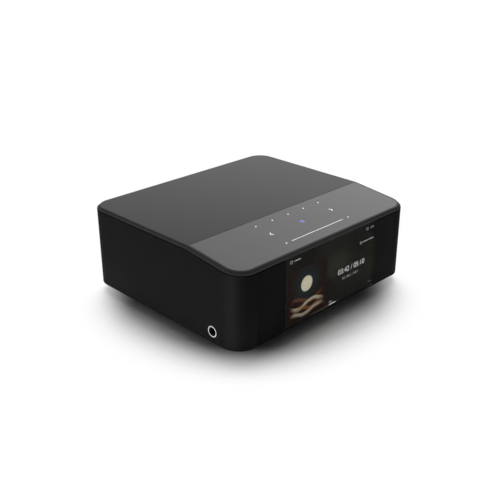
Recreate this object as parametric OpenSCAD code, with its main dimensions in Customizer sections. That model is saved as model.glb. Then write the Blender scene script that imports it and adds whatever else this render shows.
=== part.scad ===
// Network music streamer: a low rounded case with a bevelled top, a sloping touch panel,
// a full-width front glass over a colour display, and a recessed bay of sockets at the rear.
// Millimetres. X is to the right seen from the front, -Y is the front, Z is up from the table.

/* [Body] */
// Width across the side walls
body_w = 220; // [212:1:240]
// Depth from the front glass to the rear wall
body_d = 192.5; // [188:0.5:215]
// Height of the flat top above the lower edge of the body
top_h = 75; // [73:0.5:90]
// Radius of the upright corners
corner_r = 18; // [15:0.5:20]
// Thickness of the side and rear walls
wall = 3; // [2.4:0.1:3.6]
// Chamfer round the lower edge of the body
low_edge = 0.8; // [0.4:0.1:1.2]
// Width of the ledge inside the body that the tray is drawn up against
ledge_w = 2.5; // [2:0.1:3]
// Thickness of that ledge
ledge_t = 2.2; // [1.5:0.1:2.6]

/* [Top] */
// Distance from the front face back to the bend in the top
slope_run = 60.5; // [56:0.5:66]
// Drop of the top from the bend to the front face
slope_drop = 6.9; // [5:0.1:8]
// Width of the bevelled rim seen from above
rim_in = 3.4; // [2.5:0.1:4]
// Height of the bevelled rim
rim_drop = 2.4; // [2.2:0.1:3]
// Height of the dark gasket line under the rim
gasket_h = 0.8; // [0.5:0.1:1.2]
// How far the gasket sits back from the outside of the wall
gasket_back = 1; // [0.6:0.1:1.5]
// Depth of the cover's locating skirt inside the walls
skirt_h = 5; // [3:0.5:6]
// Thickness of the locating skirt
skirt_t = 1.6; // [1.2:0.1:2]
// Radius of the four posts that the cover is screwed down by
post_r = 4.5; // [4:0.1:5]
// Distance of each post from the side wall
post_side = 16; // [15:0.5:18]
// Distance of each post from the front or rear face
post_end = 16.5; // [16:0.5:18]

/* [Touch panel] */
// Thickness of the touch glass
touch_t = 1.2; // [1:0.1:1.4]
// Margin of cover left between the bevel and the touch glass
touch_margin = 0.6; // [0.4:0.1:1]
// Width of the bonding ledge under the touch glass at the bend
touch_ledge = 3; // [2:0.5:4]
// Width of the window in the cover under the touch marks
sensor_w = 120; // [100:1:160]
// Distance that the window reaches past the volume line
sensor_end = 6; // [4:0.5:8]
// Thickness of the electrode film under the glass
film_t = 0.3; // [0.2:0.1:0.5]
// Thickness of the light mask that keeps the marks apart
mask_t = 2.5; // [2:0.1:3]
// Radius of the light cell under each mark
cell_r = 2.4; // [2:0.1:3]
// Side of each lamp under a mark
lamp_w = 1.6; // [1.2:0.1:2]
// Height of each lamp
lamp_h = 0.8; // [0.6:0.1:1.2]
// Spacing of the touch marks across the panel
mark_pitch = 20; // [18:0.5:22]
// Distance of the preset marks down the slope from the bend
preset_row = 8.6; // [8.4:0.1:10]
// Distance of the play and skip marks down the slope
key_row = 25.5; // [22:0.5:28]
// Distance of the volume line down the slope
volume_row = 44; // [40:0.5:46]

/* [Front] */
// Distance from each side of the body to the opening for the front glass
glass_side = 20; // [19:0.5:25]
// Thickness of the front glass
glass_t = 2; // [1.6:0.1:2.4]
// Gap round the front glass
glass_gap = 0.15; // [0.1:0.05:0.3]
// Gap under the lower edge of the front glass
glass_lift = 0.4; // [0.2:0.1:0.8]
// Width of the lit part of the display
screen_w = 120; // [110:1:125]
// Offset of the display to the right of the middle
screen_x = 2.7; // [0:0.1:4]
// Border of the display module round its lit part
screen_border = 2; // [1.5:0.1:2.5]
// Thickness of the display module
screen_t = 3; // [2.5:0.1:3.5]
// Width of the display bracket
bracket_w = 156; // [140:1:164]
// Sheet thickness of the display bracket
bracket_t = 1; // [0.8:0.1:1.4]
// Length of the bracket's foot on the tray
bracket_foot = 10; // [8:0.5:12]
// Width of the display driver board
driver_w = 90; // [80:1:100]
// Height of the display driver board
driver_h = 36; // [30:1:40]
// Height of the spacers between bracket and driver board
driver_gap = 3; // [2:0.5:4]
// Distance of the remote-control eye from the middle
eye_x = 73; // [71:0.5:74]
// Height of the remote-control eye above the lower edge of the body
eye_z = 34; // [28:0.5:40]

/* [Base] */
// Height of the rubber pads below the plinth
pad_h = 2.5; // [2:0.1:3.5]
// Radius of the rubber pads
pad_r = 9; // [7:0.5:10]
// Depth of the pad's seat in the plinth
pad_seat = 0.8; // [0.5:0.1:1]
// Height of the plinth seen below the body
plinth_h = 6; // [5:0.5:8]
// How far the plinth is set back under the body
plinth_in = 17; // [16:0.5:19]
// Radius of the plinth's corners
plinth_r = 12; // [9:0.5:14]
// Thickness of the plinth's floor and walls
plinth_t = 2.2; // [2:0.1:3]
// Thickness of the tray's sheet
tray_t = 1.2; // [1:0.1:1.5]
// Height of the tray's underside above the lower edge of the body
tray_lift = 1; // [0.8:0.1:1.4]

/* [Rear bay] */
// Distance from each side of the body to the recessed bay of sockets
bay_side = 24; // [22:0.5:25]
// Height of the bay's lower edge above the lower edge of the body
bay_low = 9; // [9:0.5:10]
// Distance from the bay's upper edge up to the flat top
bay_high = 12; // [12:0.5:14]
// Depth of the bay
bay_depth = 9.5; // [9:0.5:11]
// Wall thickness of the bay moulding
bay_t = 2; // [1.6:0.1:2.4]
// Radius of the bay's corners
bay_r = 5; // [4:0.5:6]
// Width of the flange behind the rear wall, above and below the bay
flange_w = 3.6; // [3:0.1:4]
// Width of the flange beside the bay
flange_side = 6; // [5.8:0.1:6]
// Distance from the bay's face to the socket board behind it
board_back = 16; // [16:0.5:18]
// Half of the spacing between the two rows of sockets
row_half = 11; // [10.5:0.1:11.5]

/* [Sockets] */
// Radius of a balanced socket's hollow
xlr_r = 9.4; // [9.2:0.1:9.6]
// Radius of a balanced socket's barrel
xlr_body_r = 11.5; // [11:0.1:12]
// Radius of a balanced socket's pins
xlr_pin_r = 1.2; // [1:0.1:1.3]
// Radius of a phono socket's sleeve
rca_r = 4.15; // [4.1:0.05:4.2]
// Radius of a phono socket's centre hole
rca_hole_r = 1.65; // [1.6:0.05:1.7]
// Length of a phono sleeve in front of the bay's face
rca_out = 8.5; // [7:0.5:9]
// Side of an optical port's mouth
optical_mouth = 8; // [7.8:0.1:8.4]
// Radius of the shutter's axle
axle_r = 0.5; // [0.4:0.05:0.6]
// Width of the network socket's hollow
network_w = 11.8; // [11.6:0.1:12]
// Height of the network socket's hollow
network_h = 8.4; // [8:0.1:9]
// Width of the video socket's hollow
video_w = 14; // [13.9:0.1:14.2]
// Height of the video socket's hollow
video_h = 4.6; // [4.5:0.1:4.8]
// Width of the larger data socket's hollow
data_w = 12.5; // [12.3:0.1:12.7]
// Height of the larger data socket's hollow
data_h = 5.1; // [5:0.1:5.3]
// Width of the small data socket's hollow
small_data_w = 8.4; // [8.3:0.1:8.6]
// Height of the small data socket's hollow
small_data_h = 2.6; // [2.5:0.1:2.8]
// Half of the spacing of the two small jacks
mini_half = 5.2; // [5:0.1:5.4]
// Radius of a small jack's hole
mini_r = 1.8; // [1.78:0.01:1.9]
// Radius of the setup button
button_r = 2; // [1.8:0.1:2.2]
// Travel of the setup button
button_travel = 0.8; // [0.5:0.1:1]
// Width of the mains inlet's hollow
inlet_w = 16.6; // [16:0.1:17]
// Height of the mains inlet's hollow
inlet_h = 8.6; // [8.4:0.1:9]
// Spacing of the mains inlet's two pins
inlet_pitch = 8.6; // [8.5:0.1:8.7]
// Radius of the mains inlet's pins
inlet_pin_r = 1.2; // [1.1:0.05:1.3]

/* [Headphones] */
// Distance of the headphone jacks behind the front face
jack_back = 30; // [29:0.5:34]
// Height of the headphone jacks above the lower edge of the body
jack_z = 10.2; // [10:0.1:11]
// Radius of the hole that the plug enters
jack_r = 3.25; // [3.2:0.01:3.4]
// Radius of the bright ring round the hole
ring_r = 5.5; // [5.2:0.1:5.8]
// Width of the ring seen from the side
ring_w = 1.7; // [1.4:0.1:1.9]
// Thickness of the ring
ring_t = 1.5; // [1.2:0.1:1.6]
// How far the ring stands out of the wall
ring_out = 0.3; // [0.2:0.1:0.5]
// Length of the jack behind the wall
jack_len = 25; // [22:0.5:26]
// Side of the jack's square body
jack_side = 12.5; // [12:0.1:13]

/* [Boards] */
// Thickness of the circuit boards
board_t = 1.6; // [1.2:0.1:1.8]
// Height of the boards above the tray
board_lift = 5.8; // [5:0.1:6.2]
// Gap between the main board and the side wall
main_side = 10; // [9:0.5:12]
// Gap between the power board and the side wall
power_side = 20; // [18:0.5:22]
// Gap between the main board and the power board
board_gap = 10; // [8:0.5:12]
// Width of the converter board above the main board
dac_w = 60; // [52:1:64]
// Depth of the converter board
dac_d = 56; // [50:1:60]
// Height of the spacers under the converter board
dac_lift = 14; // [13:0.5:16]
// Height of the shielding can
can_h = 4; // [3:0.5:5]
// Radius of the mains reservoir capacitors
bulk_r = 8; // [7:0.5:9]
// Height of the mains reservoir capacitors
bulk_h = 30; // [25:0.5:35]
// Height of the transformer
core_h = 24; // [20:0.5:28]
// Height of the finned heat sink
sink_h = 26; // [20:0.5:30]

/* [Fasteners] */
// Radius of the screws' shanks
screw_r = 1.45; // [1.4:0.05:1.5]
// Radius of the screws' heads
head_r = 2.7; // [2.5:0.1:2.8]
// Height of the screws' heads
head_h = 1.8; // [1.6:0.1:2]

/* [Clearances] */
// Clearance of a screw in its hole, all round
screw_fit = 0.1; // [0.05:0.05:0.15]
// Clearance of a fixed piece in its cut-out
piece_fit = 0.2; // [0.1:0.05:0.3]
// Clearance round a piece that moves
move_fit = 0.3; // [0.3:0.05:0.35]
// Running clearance of the shutter's axle, all round
axle_fit = 0.06; // [0.04:0.01:0.08]

/* [Hidden] */
$fn = 72;
// Cuts run this far past the faces they open
over = 1;

// Heights: the body's lower edge, the flat top, and the tray and boards inside
z_body = pad_h + plinth_h;
z_top = z_body + top_h;
z_tray = z_body + tray_lift;
z_floor = z_tray + tray_t;
z_board = z_floor + board_lift;
z_deck = z_board + board_t;
z_dac = z_deck + dac_lift;

// Insides of the walls, the bend, and the length and angle of the slope
in_x = body_w / 2 - wall;
in_y = body_d / 2 - wall;
bend_y = slope_run - body_d / 2;
slope_a = atan(slope_drop / slope_run);
slope_len = (slope_run + rim_drop * sin(slope_a)) / cos(slope_a);

// The bent top, or a face at an even depth under it: where it bends, and its height
function bend_at(deep) = bend_y + deep * tan(slope_a / 2);
function top_z(y, deep = 0) = z_top - deep - max(bend_at(deep) - y, 0) * slope_drop / slope_run;

// Touch panel: outline insets, and depths below the sloping face
bend_gap = 0.4;
n_film = touch_t + film_t;
n_mask = n_film + mask_t;
n_board = n_mask + board_t;
mark_cols = [-2, -1, 0, 1, 2];
MARKS = concat(
    [for (i = mark_cols) [i * mark_pitch, preset_row]],
    [for (i = [-2, 0, 2]) [i * mark_pitch, key_row]],
    [for (i = mark_cols) [i * mark_pitch, volume_row]]
);

// Front glass and display
glass_w = body_w - 2 * glass_side;
y_front = -body_d / 2;
z_glass_low = z_body + glass_lift;
z_glass_high = top_z(y_front, rim_drop + gasket_h) - piece_fit;
y_screen = y_front + glass_t;
screen_low = z_floor + piece_fit;
screen_high = z_glass_high;
y_bracket = y_screen + screen_t;
y_driver = y_bracket + bracket_t + driver_gap;
bracket_high = screen_high - 2 * screen_border;
bracket_window = [80, 30];
z_driver = z_floor + bracket_t + 8;
driver_t = 1.2;
driver_spots = [[-1, 3.5], [1, 3.5], [-1, driver_h - 3.5], [1, driver_h - 3.5]];
driver_x = driver_w / 2 - 3.5;
spacer_r = 2.8;
eye_side = 6;

// Rear bay, its face, and the socket board behind it
bay_w = body_w - 2 * bay_side;
y_rear = body_d / 2;
y_face = y_rear - bay_depth;
y_back = y_face - bay_t;
y_sockets = y_face - board_back;
bay_h = top_h - bay_low - bay_high;
z_bay = z_body + bay_low + bay_h / 2;
z_row_low = z_bay - row_half;
z_row_high = z_bay + row_half;
flange_t = 2;
rear_screw_x = bay_w / 2 + flange_side / 2;
rear_screw_z = bay_h / 2 - 9;
stay_r = 2.6;
stay_z = bay_h / 2 - 5;

// Sockets in the bay
xlr_plate = [25, 30, 1.6];
xlr_floor = 2;
xlr_spots = [[-4.2, 2.2], [4.2, 2.2], [0, -4.8]];
rca_body_r = 4.6;
rca_nut = [6, 1.5];
rca_core_r = 3.3;
rca_core_depth = 5;
optical_frame = 1;
optical_wall = 1.2;
optical_room = optical_mouth + 0.6;
shutter_t = 0.7;
barrel_r = 0.9;
axle_above = 2.7;
optical_pocket = axle_above + barrel_r + move_fit;
optical_depth = optical_frame + barrel_r + optical_mouth + axle_above + 2 * move_fit;
z_video = z_bay + 4;
z_button = z_bay + 16.5;
z_data = z_bay - 14;
z_small_data = z_bay + 1.5;
z_mini = z_bay + 15;
socket_shell = 0.8;
network_wall = 2;
network_tall = 5;
mini_shell = 1.2;
mini_case = 0.8;
button_out = 1.2;
button_lip = [3.2, 1];
button_stem = 3;
switch_side = 6;
inlet_shell = 1.4;
inlet_case = 1;
inlet_depth = 14;
inlet_back = 20;
z_inlet = z_deck + inlet_h / 2 + 2 * inlet_shell + 1;

// Widths of the columns of sockets, from the data side to the mains side, spread evenly over the bay
COLUMNS = [
    2 * (mini_half + mini_r + mini_shell + mini_case), network_w + 2 * (network_wall + piece_fit),
    optical_room + 2 * (optical_wall + piece_fit), 2 * rca_nut[0], 2 * rca_nut[0], xlr_plate[0],
    xlr_plate[0], inlet_w + 2 * (inlet_shell + inlet_case)
];
function total(v, n) = n == 0 ? 0 : v[n - 1] + total(v, n - 1);
column_gap = (bay_w - 2 * bay_t - total(COLUMNS, len(COLUMNS))) / (len(COLUMNS) + 1);
function column_x(i) = bay_t - bay_w / 2 + (i + 1) * column_gap + total(COLUMNS, i) + COLUMNS[i] / 2;
data_x = column_x(0);
network_x = column_x(1);
optical_x = column_x(2);
rca_x = [column_x(4), column_x(3)];
xlr_x = [column_x(6), column_x(5)];
inlet_x = column_x(7);

// Board behind the sockets, and the stays that hold it
socket_board_x = [2 - bay_w / 2, xlr_x[0] + xlr_plate[0] / 2 - 0.4];
socket_board_z = [z_bay - bay_h / 2 + 2.5, z_bay + bay_h / 2 - 2.5];
stay_mid = (xlr_x[0] + xlr_x[1]) / 2;
stay_side = 7;
stay_spots = [[(network_x + data_x) / 2, -1], [stay_mid, -1], [stay_mid, 1], [network_x - stay_side, 1]];

// Headphone jacks
jack_y = y_front + jack_back;
jack_height = z_body + jack_z;
collar_r = ring_r - ring_w / 2 - 0.2;
jack_room = jack_side / 2 + piece_fit;
jack_board_h = 12;
jack_board_d = 26;

// Boards and what stands on them
main_x = [main_side - in_x, -board_gap / 2];
main_front = 8.4;
main_rear = 2;
main_y = [jack_y + main_front, y_sockets - board_t - main_rear];
power_x = [board_gap / 2, in_x - power_side];
power_front = 24;
power_rear = 3;
power_y = [jack_y + power_front, y_back - power_rear];
dac_x = [main_x[1] - dac_w - 2, main_x[1] - 2];
dac_y = [main_y[1] - dac_d, main_y[1]];
edge_in = 4.5;
standoff_r = 2.7;
MAIN_SPOTS = [for (x = [main_x[0] + edge_in, main_x[1] - edge_in])
    for (y = [main_y[0] + edge_in, main_y[1] - edge_in]) [x, y]];
POWER_SPOTS = [for (x = [power_x[0] + edge_in, power_x[1] - edge_in])
    for (y = [power_y[0] + edge_in, power_y[1] - 20]) [x, y]];
DAC_SPOTS = [for (x = [dac_x[0] + edge_in, dac_x[1] - edge_in - 8])
    for (y = [dac_y[0] + edge_in, dac_y[1] - edge_in - 8]) [x, y]];
sheet_t = 0.4;

// Parts on the boards, each as its place from the board's near corner and its size
can_at = [14, 22];
can_size = [44, 36];
can_t = 0.3;
CHIPS = [[[26, 30], [18, 18, 1.6]], [[12, 80], [8, 8, 1.2]], [[68, 20], [12, 20, 1.2]]];
dac_chip_at = [12, 12];
dac_chip = [9, 9, 1.2];
dac_chip_step = 20;
dac_cap_at = [13, 28];
dac_cap_step = 9;
dac_cap_r = 3.2;
dac_cap_h = 11;
relay_at = [10, 8];
relay = [8, 13, 8];
relay_step = 16;
core_at = [24, 50];
core_size = [32, 28];
yoke = 6;
winding_in = 3;
bulk_at = [14, 18];
bulk_step = 20;
sink_at = [8, 14];
sink_size = [40, 14];
sink_fin = 2;
sink_gaps = 6;

// Plugs between boards and the flat cables
main_plug_at = 40;
main_plug = [30, 6, 7];
dac_plug_at = 14;
dac_plug = [30, 6, 6];
bridge_at = 60;
bridge = [6, 16, 6];
cable_in = 0.6;
cable_t = 0.5;
cable_h = 8;
ribbon_t = 0.4;
ribbon_w = 16;
ribbon_at = 20;
ribbon_run = 6;
ribbon_rise = 12;
ribbon_lie = 5;
ribbon_out = 8;

// Plinth, pads and the screws from below
plinth_w = body_w - 2 * plinth_in;
plinth_d = body_d - 2 * plinth_in;
pad_x = plinth_w / 2 - pad_r - 7;
pad_y = plinth_d / 2 - pad_r - 7;
base_screw_in = [40, 30];
base_screw_x = plinth_w / 2 - base_screw_in[0];
base_screw_y = plinth_d / 2 - base_screw_in[1];
base_boss_r = 5;
base_seat = pad_h + head_h + 1;
base_screw_len = z_floor + 1.5 - base_seat;
post_x = body_w / 2 - post_side;
post_y = body_d / 2 - post_end;
case_screw_len = 9;
antenna_size = [34, 9, 0.8];
antenna_lead_r = 0.7;
antenna_edge = 4;
antenna_back = 34;
antenna_mid = 24;
ANTENNAS = [
    [antenna_edge + antenna_size[0] / 2 - plinth_w / 2, antenna_back, 0], [-antenna_mid, -antenna_mid, 90]
];

// Plain shapes

// Rectangle with round corners, in plan
module rounded_plan(w, d, r) {
    square([w, d - 2 * r], center = true);
    square([w - 2 * r, d], center = true);
    for (x = [-1, 1], y = [-1, 1])
        translate([x * (w / 2 - r), y * (d / 2 - r)]) circle(r);
}

// Upright block with round corners between two heights
module rounded_block(w, d, r, low, high) {
    translate([0, 0, low]) linear_extrude(high - low) rounded_plan(w, d, r);
}

// Block with round corners that runs back to front, between two depths
module rear_block(x, z, w, h, r, near, far) {
    translate([x, far, z]) rotate([90, 0, 0]) linear_extrude(far - near) rounded_plan(w, h, r);
}

// Plain block that runs back to front, centred on x and z
module rear_box(x, z, w, h, near, far) {
    translate([x - w / 2, near, z - h / 2]) cube([w, far - near, h]);
}

// Rod along Y between two depths
module rod_y(x, z, r, near, far) {
    translate([x, near, z]) rotate([-90, 0, 0]) cylinder(r = r, h = far - near);
}

// Rod along X between two places
module rod_x(y, z, r, low, high) {
    translate([low, y, z]) rotate([0, 90, 0]) cylinder(r = r, h = high - low);
}

// Upright rod between two heights
module post(x, y, r, low, high) {
    translate([x, y, low]) cylinder(r = r, h = high - low);
}

// Plain block between two corners
module span(low, high) {
    translate(low) cube(high - low);
}

// Side outline, as [y, z] points, carried across the width
module across(points, width) {
    rotate([90, 0, 90]) translate([0, 0, -width / 2]) linear_extrude(width) polygon(points);
}

// Everything between two depths under the bent top, across the whole width
module below_top(shallow, deep) {
    front = y_front - over;
    rear = y_rear + over;
    across([
        [front, top_z(front, deep)], [bend_at(deep), z_top - deep], [rear, z_top - deep],
        [rear, z_top - shallow], [bend_at(shallow), z_top - shallow], [front, top_z(front, shallow)]
    ], body_w + 2 * over);
}

// Half of a bevelled slab: flat end on y = 0, bevel on the two sides and the far end
module bevelled_half(w, len, r, inset, drop) {
    translate([0, len - r, 0]) rotate([90, 0, 0]) linear_extrude(len - r)
        polygon([[-w / 2, -drop], [w / 2, -drop], [w / 2 - inset, 0], [inset - w / 2, 0]]);
    across([[0, -drop], [len, -drop], [len - inset, 0], [0, 0]], w - 2 * r);
    for (x = [-1, 1])
        translate([x * (w / 2 - r), len - r, -drop]) cylinder(r1 = r, r2 = r - inset, h = drop);
}

// Places its children on the sloping face: y = 0 is the bend, -y runs down to the front
module on_slope() {
    translate([0, bend_y, z_top]) rotate([slope_a, 0, 0]) children();
}

// Outline of the sloping face, drawn in from the bevel
module slope_plan(inset, start) {
    w = body_w - 2 * (rim_in + inset);
    len = slope_len - rim_in - inset;
    r = corner_r - rim_in - inset;
    translate([-w / 2, r - len]) square([w, len - r - start]);
    translate([r - w / 2, -len]) square([w - 2 * r, r + over]);
    for (x = [-1, 1])
        translate([x * (w / 2 - r), r - len]) circle(r);
}

// Touch glass or its seat, between two depths under the sloping face
module slope_layer(inset, start, shallow, deep) {
    on_slope() translate([0, 0, -deep]) linear_extrude(deep - shallow) slope_plan(inset, start);
}

// Layer in the window under the touch marks, or the window itself, drawn in by a clearance
module sensor_layer(inset, shallow, deep) {
    on_slope() span([inset - sensor_w / 2, inset - volume_row - sensor_end, -deep],
        [sensor_w / 2 - inset, -bend_gap - touch_ledge - inset, -shallow]);
}

// Pan-head screw with its head below, pointing up
module screw_up(x, y, seat, len) {
    post(x, y, head_r, seat - head_h, seat);
    post(x, y, screw_r, seat - head_h / 2, seat + len);
}

// Pan-head screw with its head above, pointing down
module screw_down(x, y, seat, len) {
    post(x, y, head_r, seat, seat + head_h);
    post(x, y, screw_r, seat - len, seat + head_h / 2);
}

// Outer case

module body_shell() {
    seam = rim_drop + gasket_h;
    color("#2b2b2d") union() {
        difference() {
            intersection() {
                rounded_block(body_w, body_d, corner_r, z_body - over, z_top);
                translate([0, 0, z_body]) rotate([180, 0, 0]) for (y = [0, 1])
                    mirror([0, y, 0]) bevelled_half(body_w + 2 * top_h, body_d / 2 + top_h,
                        corner_r + top_h, low_edge + top_h, low_edge + top_h);
                below_top(seam, top_h + z_body);
            }
            rounded_block(2 * in_x, 2 * in_y, corner_r - wall, z_body - over, z_top);
            span([-glass_w / 2, y_front - over, z_body - over], [glass_w / 2, over - in_y, z_top]);
            rear_block(0, z_bay, bay_w + 2 * piece_fit, bay_h + 2 * piece_fit, bay_r + piece_fit,
                in_y - over, y_rear + over);
            for (x = [-1, 1]) {
                rod_x(jack_y, jack_height, collar_r + screw_fit, x * body_w / 2 - wall - over,
                    x * body_w / 2 + wall + over);
                rod_x(jack_y, jack_height, ring_r + screw_fit,
                    x * (body_w / 2 + (over + ring_out - ring_t) / 2) - (over + ring_t - ring_out) / 2,
                    x * (body_w / 2 + (over + ring_out - ring_t) / 2) + (over + ring_t - ring_out) / 2);
                for (z = [-1, 1])
                    rear_screw_hole(x * rear_screw_x, z_bay + z * rear_screw_z);
            }
        }
        difference() {
            rounded_block(body_w - wall, body_d - wall, corner_r - wall / 2, z_floor, z_floor + ledge_t);
            rounded_block(2 * (in_x - ledge_w), 2 * (in_y - ledge_w), corner_r - wall - ledge_w,
                z_floor - over, z_floor + ledge_t + over);
            span([-glass_w / 2, y_front - over, z_body], [glass_w / 2, 3 * ledge_w - in_y, z_top]);
            for (x = [0, 1]) mirror([x, 0, 0])
                span([-body_w / 2, jack_y - jack_room, jack_height - jack_room],
                    [2 * ledge_w - in_x, jack_y + jack_room, z_top]);
        }
    }
}

// Countersunk hole through the rear wall
module rear_screw_hole(x, z) {
    rod_y(x, z, screw_r + screw_fit, in_y - over, y_rear + over);
    translate([x, y_rear - head_h, z]) rotate([-90, 0, 0])
        cylinder(r1 = screw_r + screw_fit, r2 = head_r + screw_fit, h = head_h);
}

module top_cover() {
    color("#3a3a3c") difference() {
        union() {
            bent_slab();
            cover_skirt();
            for (x = [-1, 1], y = [-1, 1]) cover_post(x * post_x, y * post_y);
        }
        slope_layer(touch_margin, bend_gap, -over, touch_t);
        sensor_layer(0, 0, rim_drop + over);
        for (x = [-1, 1], y = [-1, 1])
            post(x * post_x, y * post_y, screw_r + screw_fit, z_floor - over, z_floor + case_screw_len);
    }
}

// Bevelled slab bent along the crease, its flat half and its sloping half mitred together
module bent_slab() {
    lengths = [y_rear - bend_y, slope_len];
    translate([0, bend_y, z_top]) rotate([slope_a / 2, 0, 0]) for (half = [0, 1])
        mirror([0, half, 0]) intersection() {
            rotate([-slope_a / 2, 0, 0]) translate([0, -over, 0])
                bevelled_half(body_w, over + lengths[half], corner_r, rim_in, rim_drop);
            span([-body_w, 0, -body_d], [body_w, 2 * body_d, body_d]);
        }
}

// Lip under the cover that locates it inside the walls, open at the front for the display
module cover_skirt() {
    difference() {
        intersection() {
            rounded_block(2 * (in_x - piece_fit), 2 * (in_y - piece_fit),
                corner_r - wall - piece_fit, z_body, z_top);
            below_top(rim_drop / 2, rim_drop + skirt_h);
        }
        rounded_block(2 * (in_x - piece_fit - skirt_t), 2 * (in_y - piece_fit - skirt_t),
            corner_r - wall - piece_fit - skirt_t, z_body - over, z_top + over);
        span([-glass_w / 2, y_front, z_body], [glass_w / 2, post_r - post_y, top_z(y_front, rim_drop)]);
    }
}

// Post down to the tray, cut off under the bent top
module cover_post(x, y) {
    intersection() {
        post(x, y, post_r, z_floor, z_top);
        below_top(rim_drop / 2, top_h);
    }
}

module rim_gasket() {
    outer_r = corner_r - gasket_back;
    color("#0d0d0e") difference() {
        intersection() {
            rounded_block(body_w - 2 * gasket_back, body_d - 2 * gasket_back, outer_r, z_body, z_top);
            below_top(rim_drop, rim_drop + gasket_h);
        }
        rounded_block(2 * in_x, 2 * in_y, corner_r - wall, z_body - over, z_top + over);
    }
}

// Touch panel on the slope

module touch_panel() {
    color("#4c4d50") slope_layer(touch_margin + piece_fit, bend_gap + piece_fit, 0, touch_t);
}

module touch_film() {
    color("#8f8a6a") sensor_layer(piece_fit, touch_t, n_film);
}

module light_mask() {
    color("#e8e8e4") difference() {
        sensor_layer(piece_fit, n_film, n_mask);
        on_slope() for (m = MARKS)
            translate([m[0], -m[1], -n_mask - over]) cylinder(r = cell_r, h = mask_t + 2 * over);
    }
}

module touch_board() {
    color("#1f5130") sensor_layer(piece_fit, n_mask, n_board);
}

module touch_lamps() {
    color("#f2f0d8") on_slope() for (m = MARKS)
        translate([m[0] - lamp_w / 2, -m[1] - lamp_w / 2, -n_mask]) cube([lamp_w, lamp_w, lamp_h]);
}

// Front glass and display

module front_glass() {
    color("#141416") span([glass_gap - glass_w / 2, y_front, z_glass_low],
        [glass_w / 2 - glass_gap, y_screen, z_glass_high]);
}

module display_panel() {
    half = screen_w / 2 + screen_border;
    color("#26221c") span([screen_x - half, y_screen, screen_low],
        [screen_x + half, y_bracket, screen_high]);
}

module display_bracket() {
    color("#a9adb0") difference() {
        union() {
            span([-bracket_w / 2, y_bracket, z_floor],
                [bracket_w / 2, y_bracket + bracket_t, bracket_high]);
            span([-bracket_w / 2, y_bracket, z_floor],
                [bracket_w / 2, y_bracket + bracket_foot, z_floor + bracket_t]);
            for (s = driver_spots)
                rod_y(s[0] * driver_x, z_driver + s[1], spacer_r, y_bracket + bracket_t / 2, y_driver);
        }
        translate([-bracket_window[0] / 2, y_bracket - over, z_driver + driver_h / 2 - bracket_window[1] / 2])
            cube([bracket_window[0], bracket_t + 2 * over, bracket_window[1]]);
        for (s = driver_spots)
            rod_y(s[0] * driver_x, z_driver + s[1], screw_r + screw_fit, y_bracket - over, y_driver + over);
        for (x = [-1, 1])
            post(x * (bracket_w / 2 - 6), y_bracket + bracket_foot / 2 + bracket_t / 2,
                screw_r + screw_fit, z_floor - over, z_floor + bracket_t + over);
    }
}

module display_board() {
    color("#1f5130") difference() {
        span([-driver_w / 2, y_driver, z_driver], [driver_w / 2, y_driver + driver_t, z_driver + driver_h]);
        for (s = driver_spots)
            rod_y(s[0] * driver_x, z_driver + s[1], screw_r + screw_fit, y_driver - over,
                y_driver + driver_t + over);
    }
}

// Flat ribbon from the back of the driver board down and back onto the main board
module display_ribbon() {
    t = ribbon_t;
    y0 = y_driver + driver_t;
    y1 = main_y[0] + ribbon_run;
    top = z_driver + ribbon_at;
    bend = z_deck + ribbon_rise;
    low = z_deck + ribbon_lie;
    color("#d8d8d2") translate([main_x[1] - ribbon_at, 0, 0]) across([
        [y0, top], [y0 + t, top], [y0 + t, bend], [y0 + ribbon_out, low + t],
        [y1 - ribbon_run, low + t], [y1, z_deck + t], [y1 + ribbon_run, z_deck + t],
        [y1 + ribbon_run, z_deck], [y1 - t, z_deck], [y1 - ribbon_run - t, low],
        [y0 + ribbon_out - t, low], [y0, bend - t]
    ], ribbon_w);
}

module display_screws() {
    color("#b9bcc0") {
        for (s = driver_spots) translate([s[0] * driver_x, 0, z_driver + s[1]]) {
            rod_y(0, 0, head_r, y_driver + driver_t, y_driver + driver_t + head_h);
            rod_y(0, 0, screw_r, y_bracket, y_driver + driver_t + head_h / 2);
        }
        for (x = [-1, 1])
            screw_down(x * (bracket_w / 2 - 6), y_bracket + bracket_foot / 2 + bracket_t / 2,
                z_floor + bracket_t, bracket_t + tray_t);
    }
}

module remote_eye() {
    color("#1a1016") union() {
        rear_box(eye_x, z_body + eye_z, eye_side, eye_side + 1, y_screen + 1, y_bracket);
        rod_y(eye_x, z_body + eye_z, eye_side / 2 - 0.6, y_screen, y_bracket - 1);
    }
}

// Tray, plinth and feet

module chassis_tray() {
    color("#b4b7b9") difference() {
        rounded_block(2 * (in_x - piece_fit), 2 * (in_y - piece_fit), corner_r - wall - piece_fit,
            z_tray, z_floor);
        for (x = [-1, 1], y = [-1, 1]) {
            post(x * post_x, y * post_y, screw_r + screw_fit, z_tray - over, z_floor + over);
            post(x * base_screw_x, y * base_screw_y, screw_r + screw_fit, z_tray - over, z_floor + over);
        }
        for (x = [-1, 1])
            post(x * (bracket_w / 2 - 6), y_bracket + bracket_foot / 2 + bracket_t / 2,
                screw_r + screw_fit, z_tray - over, z_floor + over);
        for (a = ANTENNAS)
            post(a[0], a[1], 2 * antenna_lead_r, z_tray - over, z_floor + over);
    }
}

module board_standoffs() {
    color("#c7c9cb") for (s = concat(MAIN_SPOTS, POWER_SPOTS)) difference() {
        post(s[0], s[1], standoff_r, z_floor, z_board);
        post(s[0], s[1], screw_r + screw_fit, z_floor - over, z_board + over);
    }
}

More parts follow.
